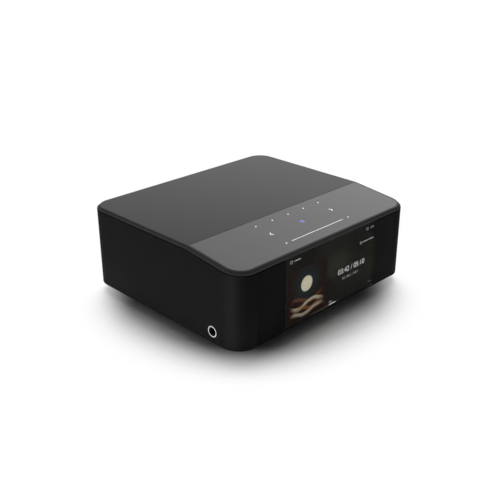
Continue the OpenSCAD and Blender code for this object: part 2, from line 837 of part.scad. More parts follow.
module board_screws() {
    color("#b9bcc0") {
        for (s = concat(MAIN_SPOTS, POWER_SPOTS))
            screw_down(s[0], s[1], z_deck, board_t + board_lift - 1);
        for (s = stay_spots) {
            rod_y(s[0], z_bay + s[1] * stay_z, head_r, y_sockets - board_t - head_h, y_sockets - board_t);
            rod_y(s[0], z_bay + s[1] * stay_z, screw_r, y_sockets - board_t - head_h / 2, y_sockets + 6);
        }
    }
}

module case_screws() {
    color("#2a2a2c") for (x = [-1, 1], y = [-1, 1])
        screw_up(x * post_x, y * post_y, z_tray, case_screw_len - 1);
}

module base_plinth() {
    inner_w = plinth_w - 2 * plinth_t;
    inner_d = plinth_d - 2 * plinth_t;
    color("#161617") difference() {
        union() {
            difference() {
                rounded_block(plinth_w, plinth_d, plinth_r, pad_h, z_tray);
                rounded_block(inner_w, inner_d, plinth_r - plinth_t, pad_h + plinth_t, z_tray + over);
            }
            for (x = [-1, 1], y = [-1, 1])
                post(x * base_screw_x, y * base_screw_y, base_boss_r, pad_h, z_tray);
        }
        for (x = [-1, 1], y = [-1, 1]) {
            post(x * pad_x, y * pad_y, pad_r + piece_fit, pad_h - over, pad_h + pad_seat);
            post(x * base_screw_x, y * base_screw_y, screw_r + screw_fit, pad_h - over, z_tray + over);
            post(x * base_screw_x, y * base_screw_y, head_r + piece_fit, pad_h - over, base_seat);
        }
    }
}

module base_screws() {
    color("#2a2a2c") for (x = [-1, 1], y = [-1, 1])
        screw_up(x * base_screw_x, y * base_screw_y, base_seat, base_screw_len);
}

module foot_pads() {
    edge = 0.6;
    color("#101011") for (x = [-1, 1], y = [-1, 1]) union() {
        translate([x * pad_x, y * pad_y, 0]) cylinder(r1 = pad_r - edge, r2 = pad_r, h = edge);
        post(x * pad_x, y * pad_y, pad_r, edge, pad_h + pad_seat);
    }
}

// Rear bay moulding

module rear_panel() {
    color("#19191a") difference() {
        union() {
            difference() {
                rear_block(0, z_bay, bay_w, bay_h, bay_r, y_back, y_rear);
                rear_block(0, z_bay, bay_w - 2 * bay_t, bay_h - 2 * bay_t, bay_r - bay_t,
                    y_face, y_rear + over);
            }
            difference() {
                rear_box(0, z_bay, bay_w + 2 * flange_side, bay_h + 2 * flange_w,
                    in_y - flange_t, in_y);
                rear_block(0, z_bay, bay_w - bay_t, bay_h - bay_t, bay_r - bay_t / 2, y_back, y_rear);
            }
            for (s = stay_spots) rod_y(s[0], z_bay + s[1] * stay_z, stay_r, y_sockets, y_face - bay_t / 2);
        }
        for (s = stay_spots)
            rod_y(s[0], z_bay + s[1] * stay_z, screw_r + screw_fit, y_sockets - over, y_back - 1);
        for (x = [-1, 1], z = [-1, 1])
            rod_y(x * rear_screw_x, z_bay + z * rear_screw_z, screw_r + screw_fit,
                in_y - flange_t - over, in_y + over);
        socket_cuts();
    }
}

// Openings in the bay's face, each a clearance larger than the socket that passes through
module socket_cuts() {
    near = y_back - over;
    far = y_face + over;
    for (x = xlr_x) rod_y(x, z_bay, xlr_body_r + piece_fit, near, far);
    for (x = rca_x, z = [z_row_low, z_row_high]) rod_y(x, z, rca_body_r + piece_fit, near, far);
    for (z = [z_row_low, z_row_high])
        rear_box(optical_x, z + optical_pocket / 2, optical_room + 2 * (optical_wall + piece_fit),
            optical_mouth + optical_pocket + 2 * (optical_wall + piece_fit), near, far);
    rear_box(network_x, z_row_low, network_w + 2 * (network_wall + piece_fit),
        network_h + network_tall + 2 * piece_fit, near, far);
    rear_box(network_x, z_video, video_w + 2 * (socket_shell + piece_fit),
        video_h + 2 * (socket_shell + piece_fit), near, far);
    rear_box(data_x, z_data, data_w + 2 * (socket_shell + piece_fit),
        data_h + 2 * (socket_shell + piece_fit), near, far);
    rear_block(data_x, z_small_data, small_data_w + 2 * (socket_shell + piece_fit),
        small_data_h + 2 * (socket_shell + piece_fit), small_data_h / 2 + socket_shell, near, far);
    for (x = [-1, 1]) rod_y(data_x + x * mini_half, z_mini, mini_r + mini_shell + piece_fit, near, far);
    rod_y(network_x, z_button, button_r + move_fit, near, far);
    rear_block(inlet_x, z_inlet, inlet_w + 2 * (inlet_shell + piece_fit),
        inlet_h + 2 * (inlet_shell + piece_fit), inlet_h / 2, near, far);
}

module rear_screws() {
    color("#2a2a2c") for (x = [-1, 1], z = [-1, 1])
        translate([x * rear_screw_x, 0, z_bay + z * rear_screw_z]) union() {
            translate([0, y_rear - head_h, 0]) rotate([-90, 0, 0])
                cylinder(r1 = screw_r, r2 = head_r, h = head_h);
            rod_y(0, 0, screw_r, in_y - flange_t - 2, y_rear - head_h / 2);
        }
}

module socket_board() {
    color("#1f5130") difference() {
        span([socket_board_x[0], y_sockets - board_t, socket_board_z[0]],
            [socket_board_x[1], y_sockets, socket_board_z[1]]);
        for (s = stay_spots)
            rod_y(s[0], z_bay + s[1] * stay_z, screw_r + screw_fit, y_sockets - board_t - over,
                y_sockets + over);
    }
}

// Sockets in the bay

module xlr_sockets() {
    color("#202022") for (x = xlr_x) difference() {
        union() {
            rod_y(x, z_bay, xlr_body_r, y_sockets, y_face + xlr_plate[2] / 2);
            rear_block(x, z_bay, xlr_plate[0], xlr_plate[1], 3, y_face, y_face + xlr_plate[2]);
        }
        rod_y(x, z_bay, xlr_r, y_sockets + xlr_floor, y_face + xlr_plate[2] + over);
    }
}

module xlr_pins() {
    color("#c9a94f") for (x = xlr_x, s = xlr_spots)
        rod_y(x + s[0], z_bay + s[1], xlr_pin_r, y_sockets + xlr_floor, y_face - 1);
}

module rca_sleeves() {
    color("#cfae55") for (x = rca_x, z = [z_row_low, z_row_high]) difference() {
        union() {
            rod_y(x, z, rca_body_r, y_sockets, y_face + rca_nut[1] / 2);
            rod_y(x, z, rca_nut[0], y_face, y_face + rca_nut[1]);
            rod_y(x, z, rca_r, y_face, y_face + rca_out);
        }
        rod_y(x, z, rca_core_r, y_face - rca_core_depth, y_face + rca_out + over);
    }
}

module rca_insulators() {
    color("#d8d5cf") for (x = rca_x, z = [z_row_low, z_row_high]) difference() {
        rod_y(x, z, rca_core_r - axle_fit, y_face - rca_core_depth, y_face + rca_out - 0.5);
        rod_y(x, z, rca_hole_r, y_face - rca_core_depth + 1.5, y_face + rca_out + over);
    }
}

// Height of a shutter's axle above the middle of its port's mouth
axle_z = optical_mouth / 2 + axle_above;
// Depth of the axle behind the bay's face
axle_y = y_face - optical_frame - move_fit - barrel_r;

module optical_ports() {
    color("#151516") for (z = [z_row_low, z_row_high]) difference() {
        rear_box(optical_x, z + optical_pocket / 2, optical_room + 2 * optical_wall,
            optical_mouth + optical_pocket + 2 * optical_wall, y_sockets, y_face);
        rear_box(optical_x, z, optical_mouth - 0.2, optical_mouth, y_face - optical_depth, y_face + over);
        rear_box(optical_x, z + optical_pocket / 2, optical_room, optical_mouth + optical_pocket,
            y_face - optical_depth, y_face - optical_frame);
        rod_x(axle_y, z + axle_z, axle_r + axle_fit, optical_x - optical_room / 2 - 0.7,
            optical_x + optical_room / 2 + 0.7);
        rod_y(optical_x, z, 1.1, y_face - optical_depth - 2, y_face);
    }
}

// Spring shutter that hangs from its axle and closes the mouth from behind
module optical_shutter(z) {
    w = optical_room - 2 * move_fit;
    color("#222224") union() {
        rod_x(axle_y, z + axle_z, axle_r, optical_x - optical_room / 2 - 0.5,
            optical_x + optical_room / 2 + 0.5);
        rod_x(axle_y, z + axle_z, barrel_r, optical_x - w / 2, optical_x + w / 2);
        span([optical_x - w / 2, axle_y + barrel_r - shutter_t, z - optical_mouth / 2 + move_fit],
            [optical_x + w / 2, axle_y + barrel_r, z + axle_z]);
    }
}

module optical_shutter_in() {
    optical_shutter(z_row_high);
}

module optical_shutter_out() {
    optical_shutter(z_row_low);
}

module video_socket() {
    depth = 11;
    color("#b7babc") union() {
        difference() {
            rear_box(network_x, z_video, video_w + 2 * socket_shell, video_h + 2 * socket_shell,
                y_sockets, y_face);
            rear_box(network_x, z_video, video_w, video_h, y_face - depth, y_face + over);
        }
        rear_box(network_x, z_video, video_w - 3, 1.2, y_face - depth - 1, y_face - 1.5);
    }
}

module network_socket() {
    depth = 12;
    color("#b7babc") difference() {
        rear_box(network_x, z_row_low, network_w + 2 * network_wall, network_h + network_tall,
            y_sockets, y_face);
        rear_box(network_x, z_row_low, network_w, network_h, y_face - depth, y_face + over);
        rear_box(network_x, z_row_low - network_h / 2, network_w / 2, 3, y_face - depth, y_face + over);
    }
}

module usb_a_socket() {
    depth = 12;
    color("#c1c4c6") union() {
        difference() {
            rear_box(data_x, z_data, data_w + 2 * socket_shell, data_h + 2 * socket_shell, y_sockets, y_face);
            rear_box(data_x, z_data, data_w, data_h, y_face - depth, y_face + over);
        }
        rear_box(data_x, z_data + 0.9, data_w - 1.6, 1.8, y_face - depth - 1, y_face - 1);
    }
}

module usb_c_socket() {
    depth = 7;
    color("#c1c4c6") union() {
        difference() {
            rear_block(data_x, z_small_data, small_data_w + 2 * socket_shell, small_data_h + 2 * socket_shell,
                small_data_h / 2 + socket_shell - 0.01, y_sockets, y_face);
            rear_block(data_x, z_small_data, small_data_w, small_data_h, small_data_h / 2 - 0.01,
                y_face - depth, y_face + over);
        }
        rear_box(data_x, z_small_data, small_data_w - 1.8, 0.7, y_face - depth - 1, y_face - 0.8);
    }
}

module mini_jacks() {
    nose_r = mini_r + mini_shell;
    side = 2 * (nose_r + mini_case);
    color("#1a1a1b") for (x = [-1, 1]) difference() {
        union() {
            rear_box(data_x + x * mini_half, z_mini, side, side, y_sockets, y_back);
            rod_y(data_x + x * mini_half, z_mini, nose_r, y_back - 1, y_face + 0.6);
        }
        rod_y(data_x + x * mini_half, z_mini, mini_r, y_sockets + 2, y_face + over);
    }
}

module setup_button() {
    color("#2c2c2e") union() {
        rod_y(network_x, z_button, button_r, y_back - button_stem, y_face + button_out);
        rod_y(network_x, z_button, button_lip[0], y_back - button_lip[1] - 0.05, y_back - 0.05);
    }
}

// Small switch on the socket board behind the button
module setup_switch() {
    tip = y_back - button_stem - button_travel - 0.1;
    color("#8b8d90") union() {
        rear_box(network_x, z_button, switch_side, switch_side, y_sockets, tip - 1.5);
        rod_y(network_x, z_button, button_r - 0.3, tip - 2, tip);
    }
}

module mains_inlet() {
    near = y_back - inlet_back;
    outer_w = inlet_w + 2 * inlet_shell;
    outer_h = inlet_h + 2 * inlet_shell;
    color("#161617") difference() {
        union() {
            span([inlet_x - outer_w / 2 - inlet_case, near, z_deck],
                [inlet_x + outer_w / 2 + inlet_case, y_back, z_inlet + outer_h / 2 + inlet_case]);
            rear_block(inlet_x, z_inlet, outer_w, outer_h, inlet_h / 2 - 0.5, y_back - 1, y_face + 0.8);
        }
        rear_block(inlet_x, z_inlet, inlet_w, inlet_h, inlet_h / 2 - 0.01, y_face - inlet_depth, y_face + 2);
    }
}

module inlet_pins() {
    color("#c5c7c9") for (x = [-1, 1])
        rod_y(inlet_x + x * inlet_pitch / 2, z_inlet, inlet_pin_r, y_face - inlet_depth, y_face - 3);
}

// Boards

// Board on standoffs with a screw hole at each spot
module lying_board(x, y, low, spots) {
    color("#1f5130") difference() {
        span([x[0], y[0], low], [x[1], y[1], low + board_t]);
        for (s = spots) post(s[0], s[1], screw_r + screw_fit, low - over, low + board_t + over);
    }
}

module main_board() {
    lying_board(main_x, main_y, z_board, MAIN_SPOTS);
}

module shield_can() {
    low = [main_x[0] + can_at[0], main_y[0] + can_at[1], z_deck];
    size = [can_size[0], can_size[1], can_h];
    color("#c3c6c8") difference() {
        span(low, low + size);
        span(low + [can_t, can_t, -over], low + size - [can_t, can_t, can_t]);
    }
}

module main_chips() {
    color("#1b1b1d") for (c = CHIPS)
        translate([main_x[0] + c[0][0], main_y[0] + c[0][1], z_deck]) cube(c[1]);
}

module dac_board() {
    lying_board(dac_x, dac_y, z_dac, DAC_SPOTS);
}

// Spacers between the main board and the converter board, each with its screw on top
module dac_spacers() {
    color("#c7c9cb") for (s = DAC_SPOTS) {
        post(s[0], s[1], standoff_r, z_deck, z_dac);
        post(s[0], s[1], screw_r, z_dac - over, z_dac + board_t + head_h / 2);
        post(s[0], s[1], head_r, z_dac + board_t, z_dac + board_t + head_h);
    }
}

module dac_chips() {
    color("#1b1b1d") for (i = [0, 1])
        translate([dac_x[0] + dac_chip_at[0] + dac_chip_step * i, dac_y[0] + dac_chip_at[1], z_dac + board_t])
            cube(dac_chip);
}

module dac_capacitors() {
    top = z_dac + board_t;
    color("#37507a") for (i = [0:3], j = [0, 1])
        post(dac_x[0] + dac_cap_at[0] + dac_cap_step * i, dac_y[0] + dac_cap_at[1] + dac_cap_step * j,
            dac_cap_r, top, top + dac_cap_h);
}

module mute_relays() {
    color("#d9d7d0") for (i = [0, 1])
        translate([dac_x[1] - relay_at[0], dac_y[0] + relay_at[1] + relay_step * i, z_dac + board_t])
            cube(relay);
}

module power_board() {
    lying_board(power_x, power_y, z_board, POWER_SPOTS);
}

// Insulating sheet on the tray under the mains board
module insulation_sheet() {
    color("#cdbb86") difference() {
        span([power_x[0], power_y[0], z_floor], [power_x[1], power_y[1], z_floor + sheet_t]);
        for (s = POWER_SPOTS)
            post(s[0], s[1], standoff_r + piece_fit, z_floor - over, z_floor + sheet_t + over);
        for (x = [-1, 1], y = [-1, 1])
            post(x * base_screw_x, y * base_screw_y, 2 * screw_r, z_floor - over, z_floor + sheet_t + over);
    }
}

// Ferrite core with its wound bobbin
module power_transformer() {
    low = [power_x[0] + core_at[0], power_y[0] + core_at[1], z_deck];
    size = [core_size[0], core_size[1], core_h];
    color("#3c3a38") union() {
        span(low, low + [size[0], size[1], yoke]);
        span(low + [0, 0, core_h - yoke], low + size);
        span(low, low + [yoke, size[1], core_h]);
        span(low + [size[0] - yoke, 0, 0], low + size);
        post(low[0] + size[0] / 2, low[1] + size[1] / 2, size[1] / 2 - winding_in,
            low[2] + yoke / 2, low[2] + core_h - yoke / 2);
    }
}

module bulk_capacitors() {
    color("#22262e") for (i = [0, 1])
        post(power_x[1] - bulk_at[0], power_y[0] + bulk_at[1] + bulk_step * i, bulk_r, z_deck,
            z_deck + bulk_h);
}

module power_heatsink() {
    low = [power_x[0] + sink_at[0], power_y[0] + sink_at[1], z_deck];
    size = [sink_size[0], sink_size[1], sink_h];
    step = (size[0] - sink_fin) / sink_gaps;
    color("#8f9295") difference() {
        span(low, low + size);
        for (i = [0:sink_gaps - 1])
            span(low + [sink_fin + i * step, sink_fin, -over],
                low + [(i + 1) * step, size[1] + over, sink_h + over]);
    }
}

// Headphone jacks, one on each side

// Left jack, with its threaded collar through the wall
module jack(side) {
    face = body_w / 2 + ring_out - ring_t;
    color("#1c1c1d") mirror([side > 0 ? 1 : 0, 0, 0]) difference() {
        union() {
            rod_x(jack_y, jack_height, collar_r, -face, over - in_x);
            translate([-in_x, jack_y - jack_side / 2, jack_height - jack_side / 2])
                cube([jack_len, jack_side, jack_side]);
        }
        rod_x(jack_y, jack_height, jack_r, -face - over, jack_len - in_x - 2);
    }
}

module headphone_jack_left() {
    jack(-1);
}

module headphone_jack_right() {
    jack(1);
}

module headphone_rings() {
    outer = body_w / 2 + ring_out;
    edge = 0.3;
    color("#e6e7e8") for (x = [0, 1]) mirror([x, 0, 0]) translate([-outer, jack_y, jack_height])
        rotate([0, 90, 0]) difference() {
            union() {
                cylinder(r1 = ring_r - edge, r2 = ring_r, h = edge);
                translate([0, 0, edge]) cylinder(r = ring_r, h = ring_t - edge);
            }
            translate([0, 0, -over]) cylinder(r = ring_r - ring_w, h = ring_t + 2 * over);
        }
}

// Small boards on the backs of the jacks; the left one stands on the main board
module headphone_boards() {
    inner = in_x - jack_len;
    color("#1f5130") for (x = [0, 1]) mirror([x, 0, 0])
        span([-inner, jack_y - jack_side / 2, z_deck],
            [board_t - inner, jack_y - jack_side / 2 + jack_board_d, z_deck + jack_board_h]);
}

// Flat aerials on the plinth's floor, each with its lead up to the main board
module wifi_antennas() {
    low = pad_h + plinth_t;
    color("#27402c") for (a = ANTENNAS) translate([a[0], a[1], low]) union() {
        rotate([0, 0, a[2]]) translate([-antenna_size[0] / 2, -antenna_size[1] / 2, 0]) cube(antenna_size);
        cylinder(r = antenna_lead_r, h = z_board - low);
    }
}

// Plugs between the boards and the flat cable to the right headphone jack
module board_links() {
    board_y = y_sockets - board_t;
    cable_y = main_y[0] + cable_in;
    main_plug_x = main_x[0] + main_plug_at;
    dac_plug_x = dac_x[0] + dac_plug_at;
    dac_top = z_dac + board_t;
    color("#d9d6cc") {
        span([main_plug_x, main_y[1] - main_plug[1], z_deck],
            [main_plug_x + main_plug[0], board_y, z_deck + main_plug[2]]);
        span([dac_plug_x, dac_y[1] - dac_plug[1], dac_top],
            [dac_plug_x + dac_plug[0], board_y, dac_top + dac_plug[2]]);
        span([main_x[1] - bridge[0], main_y[0] + bridge_at, z_deck],
            [power_x[0] + bridge[0], main_y[0] + bridge_at + bridge[1], z_deck + bridge[2]]);
        span([main_x[1] - bridge[0], cable_y, z_deck],
            [in_x - jack_len - board_t, cable_y + cable_t, z_deck + cable_h]);
    }
}

body_shell();
top_cover();
rim_gasket();
touch_panel();
touch_film();
light_mask();
touch_board();
touch_lamps();
front_glass();
display_panel();
display_bracket();
display_board();
display_ribbon();
display_screws();
remote_eye();
chassis_tray();
board_standoffs();
board_screws();
case_screws();
base_plinth();
base_screws();
foot_pads();
rear_panel();
rear_screws();
socket_board();
xlr_sockets();
xlr_pins();
rca_sleeves();
rca_insulators();
optical_ports();
optical_shutter_in();
optical_shutter_out();
video_socket();
network_socket();
usb_a_socket();
usb_c_socket();
mini_jacks();
setup_button();
setup_switch();
mains_inlet();
inlet_pins();
main_board();
shield_can();
main_chips();
dac_board();
dac_spacers();
dac_chips();
dac_capacitors();
mute_relays();
power_board();
insulation_sheet();
power_transformer();
bulk_capacitors();
power_heatsink();
headphone_jack_left();
headphone_jack_right();
headphone_rings();
headphone_boards();
wifi_antennas();
board_links();
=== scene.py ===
"""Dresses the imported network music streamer: case, glasses, display, sockets and studio stage."""
import math
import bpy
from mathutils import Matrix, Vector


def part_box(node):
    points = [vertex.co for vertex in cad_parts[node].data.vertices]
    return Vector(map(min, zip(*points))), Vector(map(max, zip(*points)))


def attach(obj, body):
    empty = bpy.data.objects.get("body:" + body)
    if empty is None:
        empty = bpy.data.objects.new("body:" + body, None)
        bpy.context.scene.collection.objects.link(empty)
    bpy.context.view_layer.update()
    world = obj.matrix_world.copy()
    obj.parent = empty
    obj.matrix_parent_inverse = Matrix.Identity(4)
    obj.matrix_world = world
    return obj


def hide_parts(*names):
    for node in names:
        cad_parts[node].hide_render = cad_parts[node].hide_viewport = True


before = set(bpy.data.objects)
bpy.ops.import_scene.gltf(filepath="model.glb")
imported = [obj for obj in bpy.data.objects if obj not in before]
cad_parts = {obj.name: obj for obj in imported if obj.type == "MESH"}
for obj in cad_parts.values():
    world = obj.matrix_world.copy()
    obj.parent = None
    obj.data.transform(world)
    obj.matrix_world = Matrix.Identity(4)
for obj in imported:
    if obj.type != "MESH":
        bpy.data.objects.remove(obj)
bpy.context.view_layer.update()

from types import SimpleNamespace

import bmesh
import bpy
from bpy.props import FloatProperty, FloatVectorProperty, PointerProperty
from mathutils import Vector

bl_info = {
    "name": "Network music streamer",
    "version": (1, 0, 0),
    "blender": (4, 5, 0),
    "location": "View3D > Sidebar > Streamer",
    "description": "Models and finishes a desktop network music streamer over its CAD frame",
    "category": "Object",
}

MM = 0.001

NEAR, MIDDLE = 0.01, 1      # what counts as the same place, and as the middle, in millimetres
FACING, FLAT = 0.9, 0.999   # least cosine for a face to look one way, and to lie flat
CORNER_STEPS, RING_SIDES, SCREW_SIDES = 28, 72, 40


def node_box(node):
    """A CAD node's lowest and highest corners, in millimetres."""
    low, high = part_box(node)
    return low / MM, high / MM


CASE_LOW, CASE_HIGH = node_box("body_shell")
COVER_HIGH = node_box("top_cover")[1]
PANE_LOW, PANE_HIGH = node_box("front_glass")
PANEL_LOW, PANEL_HIGH = node_box("display_panel")
RING_LOW, RING_HIGH = node_box("headphone_rings")
PAD_LOW, PAD_HIGH = node_box("foot_pads")
NETWORK_LOW, NETWORK_HIGH = node_box("network_socket")


# ------------------------------------------------------------------ sizes and colours

def length(name, description, millimetres):
    """A size that a user may change, kept in metres."""
    return FloatProperty(name=name, description=description, default=millimetres * MM,
                         unit="LENGTH", subtype="DISTANCE", precision=5)


def colour(name, description, red, green, blue):
    """A linear colour that a user may change."""
    return FloatVectorProperty(name=name, description=description, subtype="COLOR", size=3,
                               min=0, max=1, default=(red, green, blue))


def amount(name, description, value):
    """A plain number that a user may change."""
    return FloatProperty(name=name, description=description, default=value)


def angle(name, description, degrees):
    """An angle that a user may change, kept in radians."""
    return FloatProperty(name=name, description=description, default=math.radians(degrees),
                         subtype="ANGLE")


def in_mm(group):
    """The lengths of a property group as plain numbers in millimetres."""
    return SimpleNamespace(**{key: getattr(group, key) / MM for key in group.__annotations__})


class StreamerSizes(bpy.types.PropertyGroup):
    """Lengths of the streamer's outer pieces."""

    case_width: length("Case width", "Over the side walls", CASE_HIGH.x - CASE_LOW.x)
    case_depth: length("Case depth", "From the front glass to the rear wall",
                       CASE_HIGH.y - CASE_LOW.y)
    case_foot: length("Case foot", "Height of the case's lower edge", CASE_LOW.z)
    corner: length("Corner radius", "Round of the upright corners", 18)
    wall: length("Wall", "Thickness of the case's walls", 3)
    wall_edge: length("Wall edge", "Rounding along the edges of the walls", 0.4)
    top: length("Top height", "Height of the flat rear zone", COVER_HIGH.z)
    rim_in: length("Rim width", "How far the bevelled rim comes in", 3.4)
    rim_drop: length("Rim drop", "How far the bevelled rim goes down", 2.4)
    rim_low_in: length("Rim foot width", "How far the rim's flatter foot comes in", 1.5)
    rim_low_up: length("Rim foot height", "How far the rim's flatter foot goes up", 0.75)
    rim_roll_in: length("Rim roll width", "How far the roll at the rim's upper edge comes in", 0.9)
    rim_roll_up: length("Rim roll height", "How far the roll at the rim's upper edge goes up", 0.32)
    rim_soft: length("Rim softness", "Rounding between the rim's roll and steep part", 0.25)
    seal: length("Seal height", "Dark line between the cover and the walls", 0.8)
    bend: length("Bend", "Where the slope starts, front to back", -35.75)
    slope_run: length("Slope run", "Front to back length of the slope", 60.5)
    slope_drop: length("Slope drop", "How far the slope goes down", 6.9)
    glass_edge: length("Touch glass edge", "Metal left around the touch glass's seat", 0.6)
    glass_bend: length("Touch glass bend edge", "Metal left between the bend and the seat", 0.4)
    glass_gap: length("Touch glass gap", "Clearance around the touch glass", 0.2)
    glass_thick: length("Touch glass thickness", "Depth of the touch glass's seat", 1.2)
    pane_gap: length("Front glass gap", "Clearance beside the front glass", 0.15)
    pane_lift: length("Front glass lift", "Height of the front glass above the case's foot", 0.05)
    bay_width: length("Bay width", "Opening for the socket bay in the rear wall", 172.4)
    bay_height: length("Bay height", "Opening for the socket bay in the rear wall", 54.4)
    bay_middle: length("Bay middle", "Height of the socket bay's middle", 44.5)
    bay_corner: length("Bay corner", "Round of the bay opening's corners", 5.2)
    mark_pitch: length("Mark pitch", "Spacing of the touch marks", 20)
    mark_dot: length("Mark dot", "Radius of a touch mark's dot", 0.58)
    mark_line: length("Mark line", "Width of the volume line", 0.32)
    lit_left: length("Lit left", "Left edge of the lit part of the display", -55.2)
    lit_low: length("Lit bottom", "Lower edge of the lit part of the display", 9.3)
    window_left: length("Window left", "Left edge of the front glass's clear part", -58.4)
    window_right: length("Window right", "Right edge of the front glass's clear part", 61.3)
    window_sill: length("Window sill", "Printed strip below the clear part", 1.2)
    picture: length("Picture side", "Side of the square picture on the display", 48)
    picture_left: length("Picture left", "Left edge of the picture", -51.6)
    picture_low: length("Picture bottom", "Lower edge of the picture above the case's foot", 2.6)
    jack_y: length("Jack place", "Headphone sockets, front to back", -66.25)
    jack_z: length("Jack height", "Headphone sockets' centre height", 18.7)
    ring_width: length("Ring width", "Width of the bright ring around a headphone socket", 1.7)
    ring_ease: length("Ring inner ease", "Rounding of the bright ring's inner edge", 0.15)
    ring_flank: length("Ring flank", "Dark flank outside the bright ring", 0.58)
    ring_thick: length("Ring thickness", "Thickness of the bright ring", 1.5)
    pad_radius: length("Pad radius", "Radius of a foot pad", 9)
    screw_head: length("Screw head", "Radius of a case screw's head", 2.7)
    screw_shank: length("Screw shank", "Radius of a case screw's shank", 1.45)
    screw_sink: length("Screw sink", "Height of a case screw's head", 1.8)


class StreamerFinish(bpy.types.PropertyGroup):
    """Colours of the streamer's finishes."""

    case_metal: colour("Case metal", "Satin anthracite of the walls", 0.0210, 0.0210, 0.0211)
    cover_metal: colour("Cover metal", "Satin anthracite of the top", 0.0320, 0.0320, 0.0322)
    # Painted light: the top's metal made paler for the bevelled rim; on the right lip the same
    # paint gives painted shade.
    rim_painted_light_metal: colour("Rim metal", "Satin anthracite of the bevelled rim", 0.0400, 0.0400, 0.0402)
    touch_glass: colour("Touch glass", "Smoked glass of the slope", 0.142, 0.142, 0.143)
    front_glass: colour("Front glass", "Black print behind the front glass", 0.0095, 0.0095, 0.0095)
    mark_white: colour("Marks", "Light of the touch marks", 0.95, 0.96, 1.0)
    mark_violet: colour("Play mark", "Light of the play mark", 0.22, 0.26, 0.95)
    picture_ground: colour("Picture ground", "Dark ground of the picture", 0.0120, 0.0060, 0.0048)
    picture_cream: colour("Picture cream", "Pale shapes of the picture", 0.58, 0.54, 0.39)
    picture_amber: colour("Picture amber", "Warm shapes of the picture", 0.17, 0.062, 0.024)
    picture_teal: colour("Picture teal", "Faint glow of the picture", 0.011, 0.022, 0.024)
    screen_ground: colour("Screen ground", "Blurred ground of the display", 0.0082, 0.0078, 0.0070)
    screen_patch: colour("Screen patch", "Paler patch of the ground", 0.0230, 0.0235, 0.0175)
    screen_strip: colour("Screen strip", "Pale strip below the picture", 0.042, 0.040, 0.034)
    read_white: colour("Readout white", "Bright figures of the display", 0.92, 0.92, 0.92)
    read_grey: colour("Readout grey", "Dim figures of the display", 0.55, 0.55, 0.54)
    chrome: colour("Chrome", "Bright rings of the headphone sockets", 0.93, 0.93, 0.94)
    rubber: colour("Rubber", "Foot pads and seal", 0.010, 0.010, 0.010)
    plastic: colour("Black plastic", "Base, rear panel, sockets and chips", 0.012, 0.012, 0.0125)
    pale_plastic: colour("Pale plastic", "Light mask and white insulators", 0.62, 0.61, 0.58)
    red_plastic: colour("Red plastic", "Insulators of the right channel", 0.42, 0.018, 0.014)
    steel: colour("Sheet steel", "Bracket, can and inner screws", 0.52, 0.52, 0.51)
    nickel: colour("Nickel", "Socket shells and inlet blades", 0.66, 0.65, 0.62)
    gold: colour("Gold", "Contacts and sleeves", 0.82, 0.58, 0.22)
    board: colour("Circuit board", "Solder mask of the boards", 0.012, 0.060, 0.026)
    amber_film: colour("Amber film", "Flexible circuit film", 0.36, 0.15, 0.022)
    sleeve: colour("Sleeve", "Shrink sleeve of the capacitors", 0.020, 0.030, 0.075)
    ferrite: colour("Ferrite", "Core of the transformer", 0.045, 0.043, 0.042)
    screw_black: colour("Screw black", "Blackened screws of the case", 0.016, 0.016, 0.016)
    tray_black: colour("Tray black", "Painted tray", 0.016, 0.016, 0.0162)
    sink_black: colour("Heat sink", "Anodised heat sink", 0.030, 0.030, 0.031)
    lamp_clear: colour("Clear lamp", "Lamps under the touch glass", 0.86, 0.84, 0.70)
    lamp_green: colour("Green lamp", "One lamp of the network socket", 0.10, 0.42, 0.10)
    lamp_amber: colour("Amber lamp", "The other lamp of the network socket", 0.62, 0.30, 0.03)
    floor: colour("Floor", "Pale studio floor", 0.95, 0.95, 0.95)


class StreamerStage(bpy.types.PropertyGroup):
    """Camera and studio light."""

    camera_place: FloatVectorProperty(name="Camera place", description="Where the camera stands",
                                      subtype="XYZ", unit="LENGTH", size=3,
                                      default=(-0.46391, -0.46248, 0.33118))
    camera_turn: FloatVectorProperty(name="Camera turn", description="How the camera is turned",
                                     subtype="EULER", size=3,
                                     default=(math.radians(65.56), 0, math.radians(-45)))
    lens: amount("Lens", "Focal length in millimetres on a 36 mm sensor", 55.30)
    lamp_level: amount("Overhead level", "Light of the overhead lamp on the floor", 1.0)
    lamp_width: angle("Overhead width", "Angle that the overhead lamp fills", 43)
    lamp_tilt: angle("Overhead tilt", "How far the overhead lamp stands behind the object", 30)
    lamp_way: angle("Overhead way", "Which way behind the object the overhead lamp stands", 42.4)
    fill_left: amount("Left fill", "Light of the white sky from the left", 0.168)
    fill_right: amount("Right fill", "Light of the white sky from the front right", 0.022)
    shadow_fade: length("Shadow fade", "Distance at which the shadow starts to fade", 116)
    shadow_reach: length("Shadow reach", "Distance at which the floor is plain white", 178)
    shadow_side: length("Shadow side", "Distance aside at which the shadow starts to fade", 102)
    shadow_end: length("Shadow end", "Distance aside at which the floor is plain white", 187)


# ------------------------------------------------------------------ modelling bench

def hold(*pieces):
    """Selects only these pieces, the first one active."""
    bpy.ops.object.select_all(action="DESELECT")
    for piece in pieces:
        piece.select_set(True)
    bpy.context.view_layer.objects.active = pieces[0]


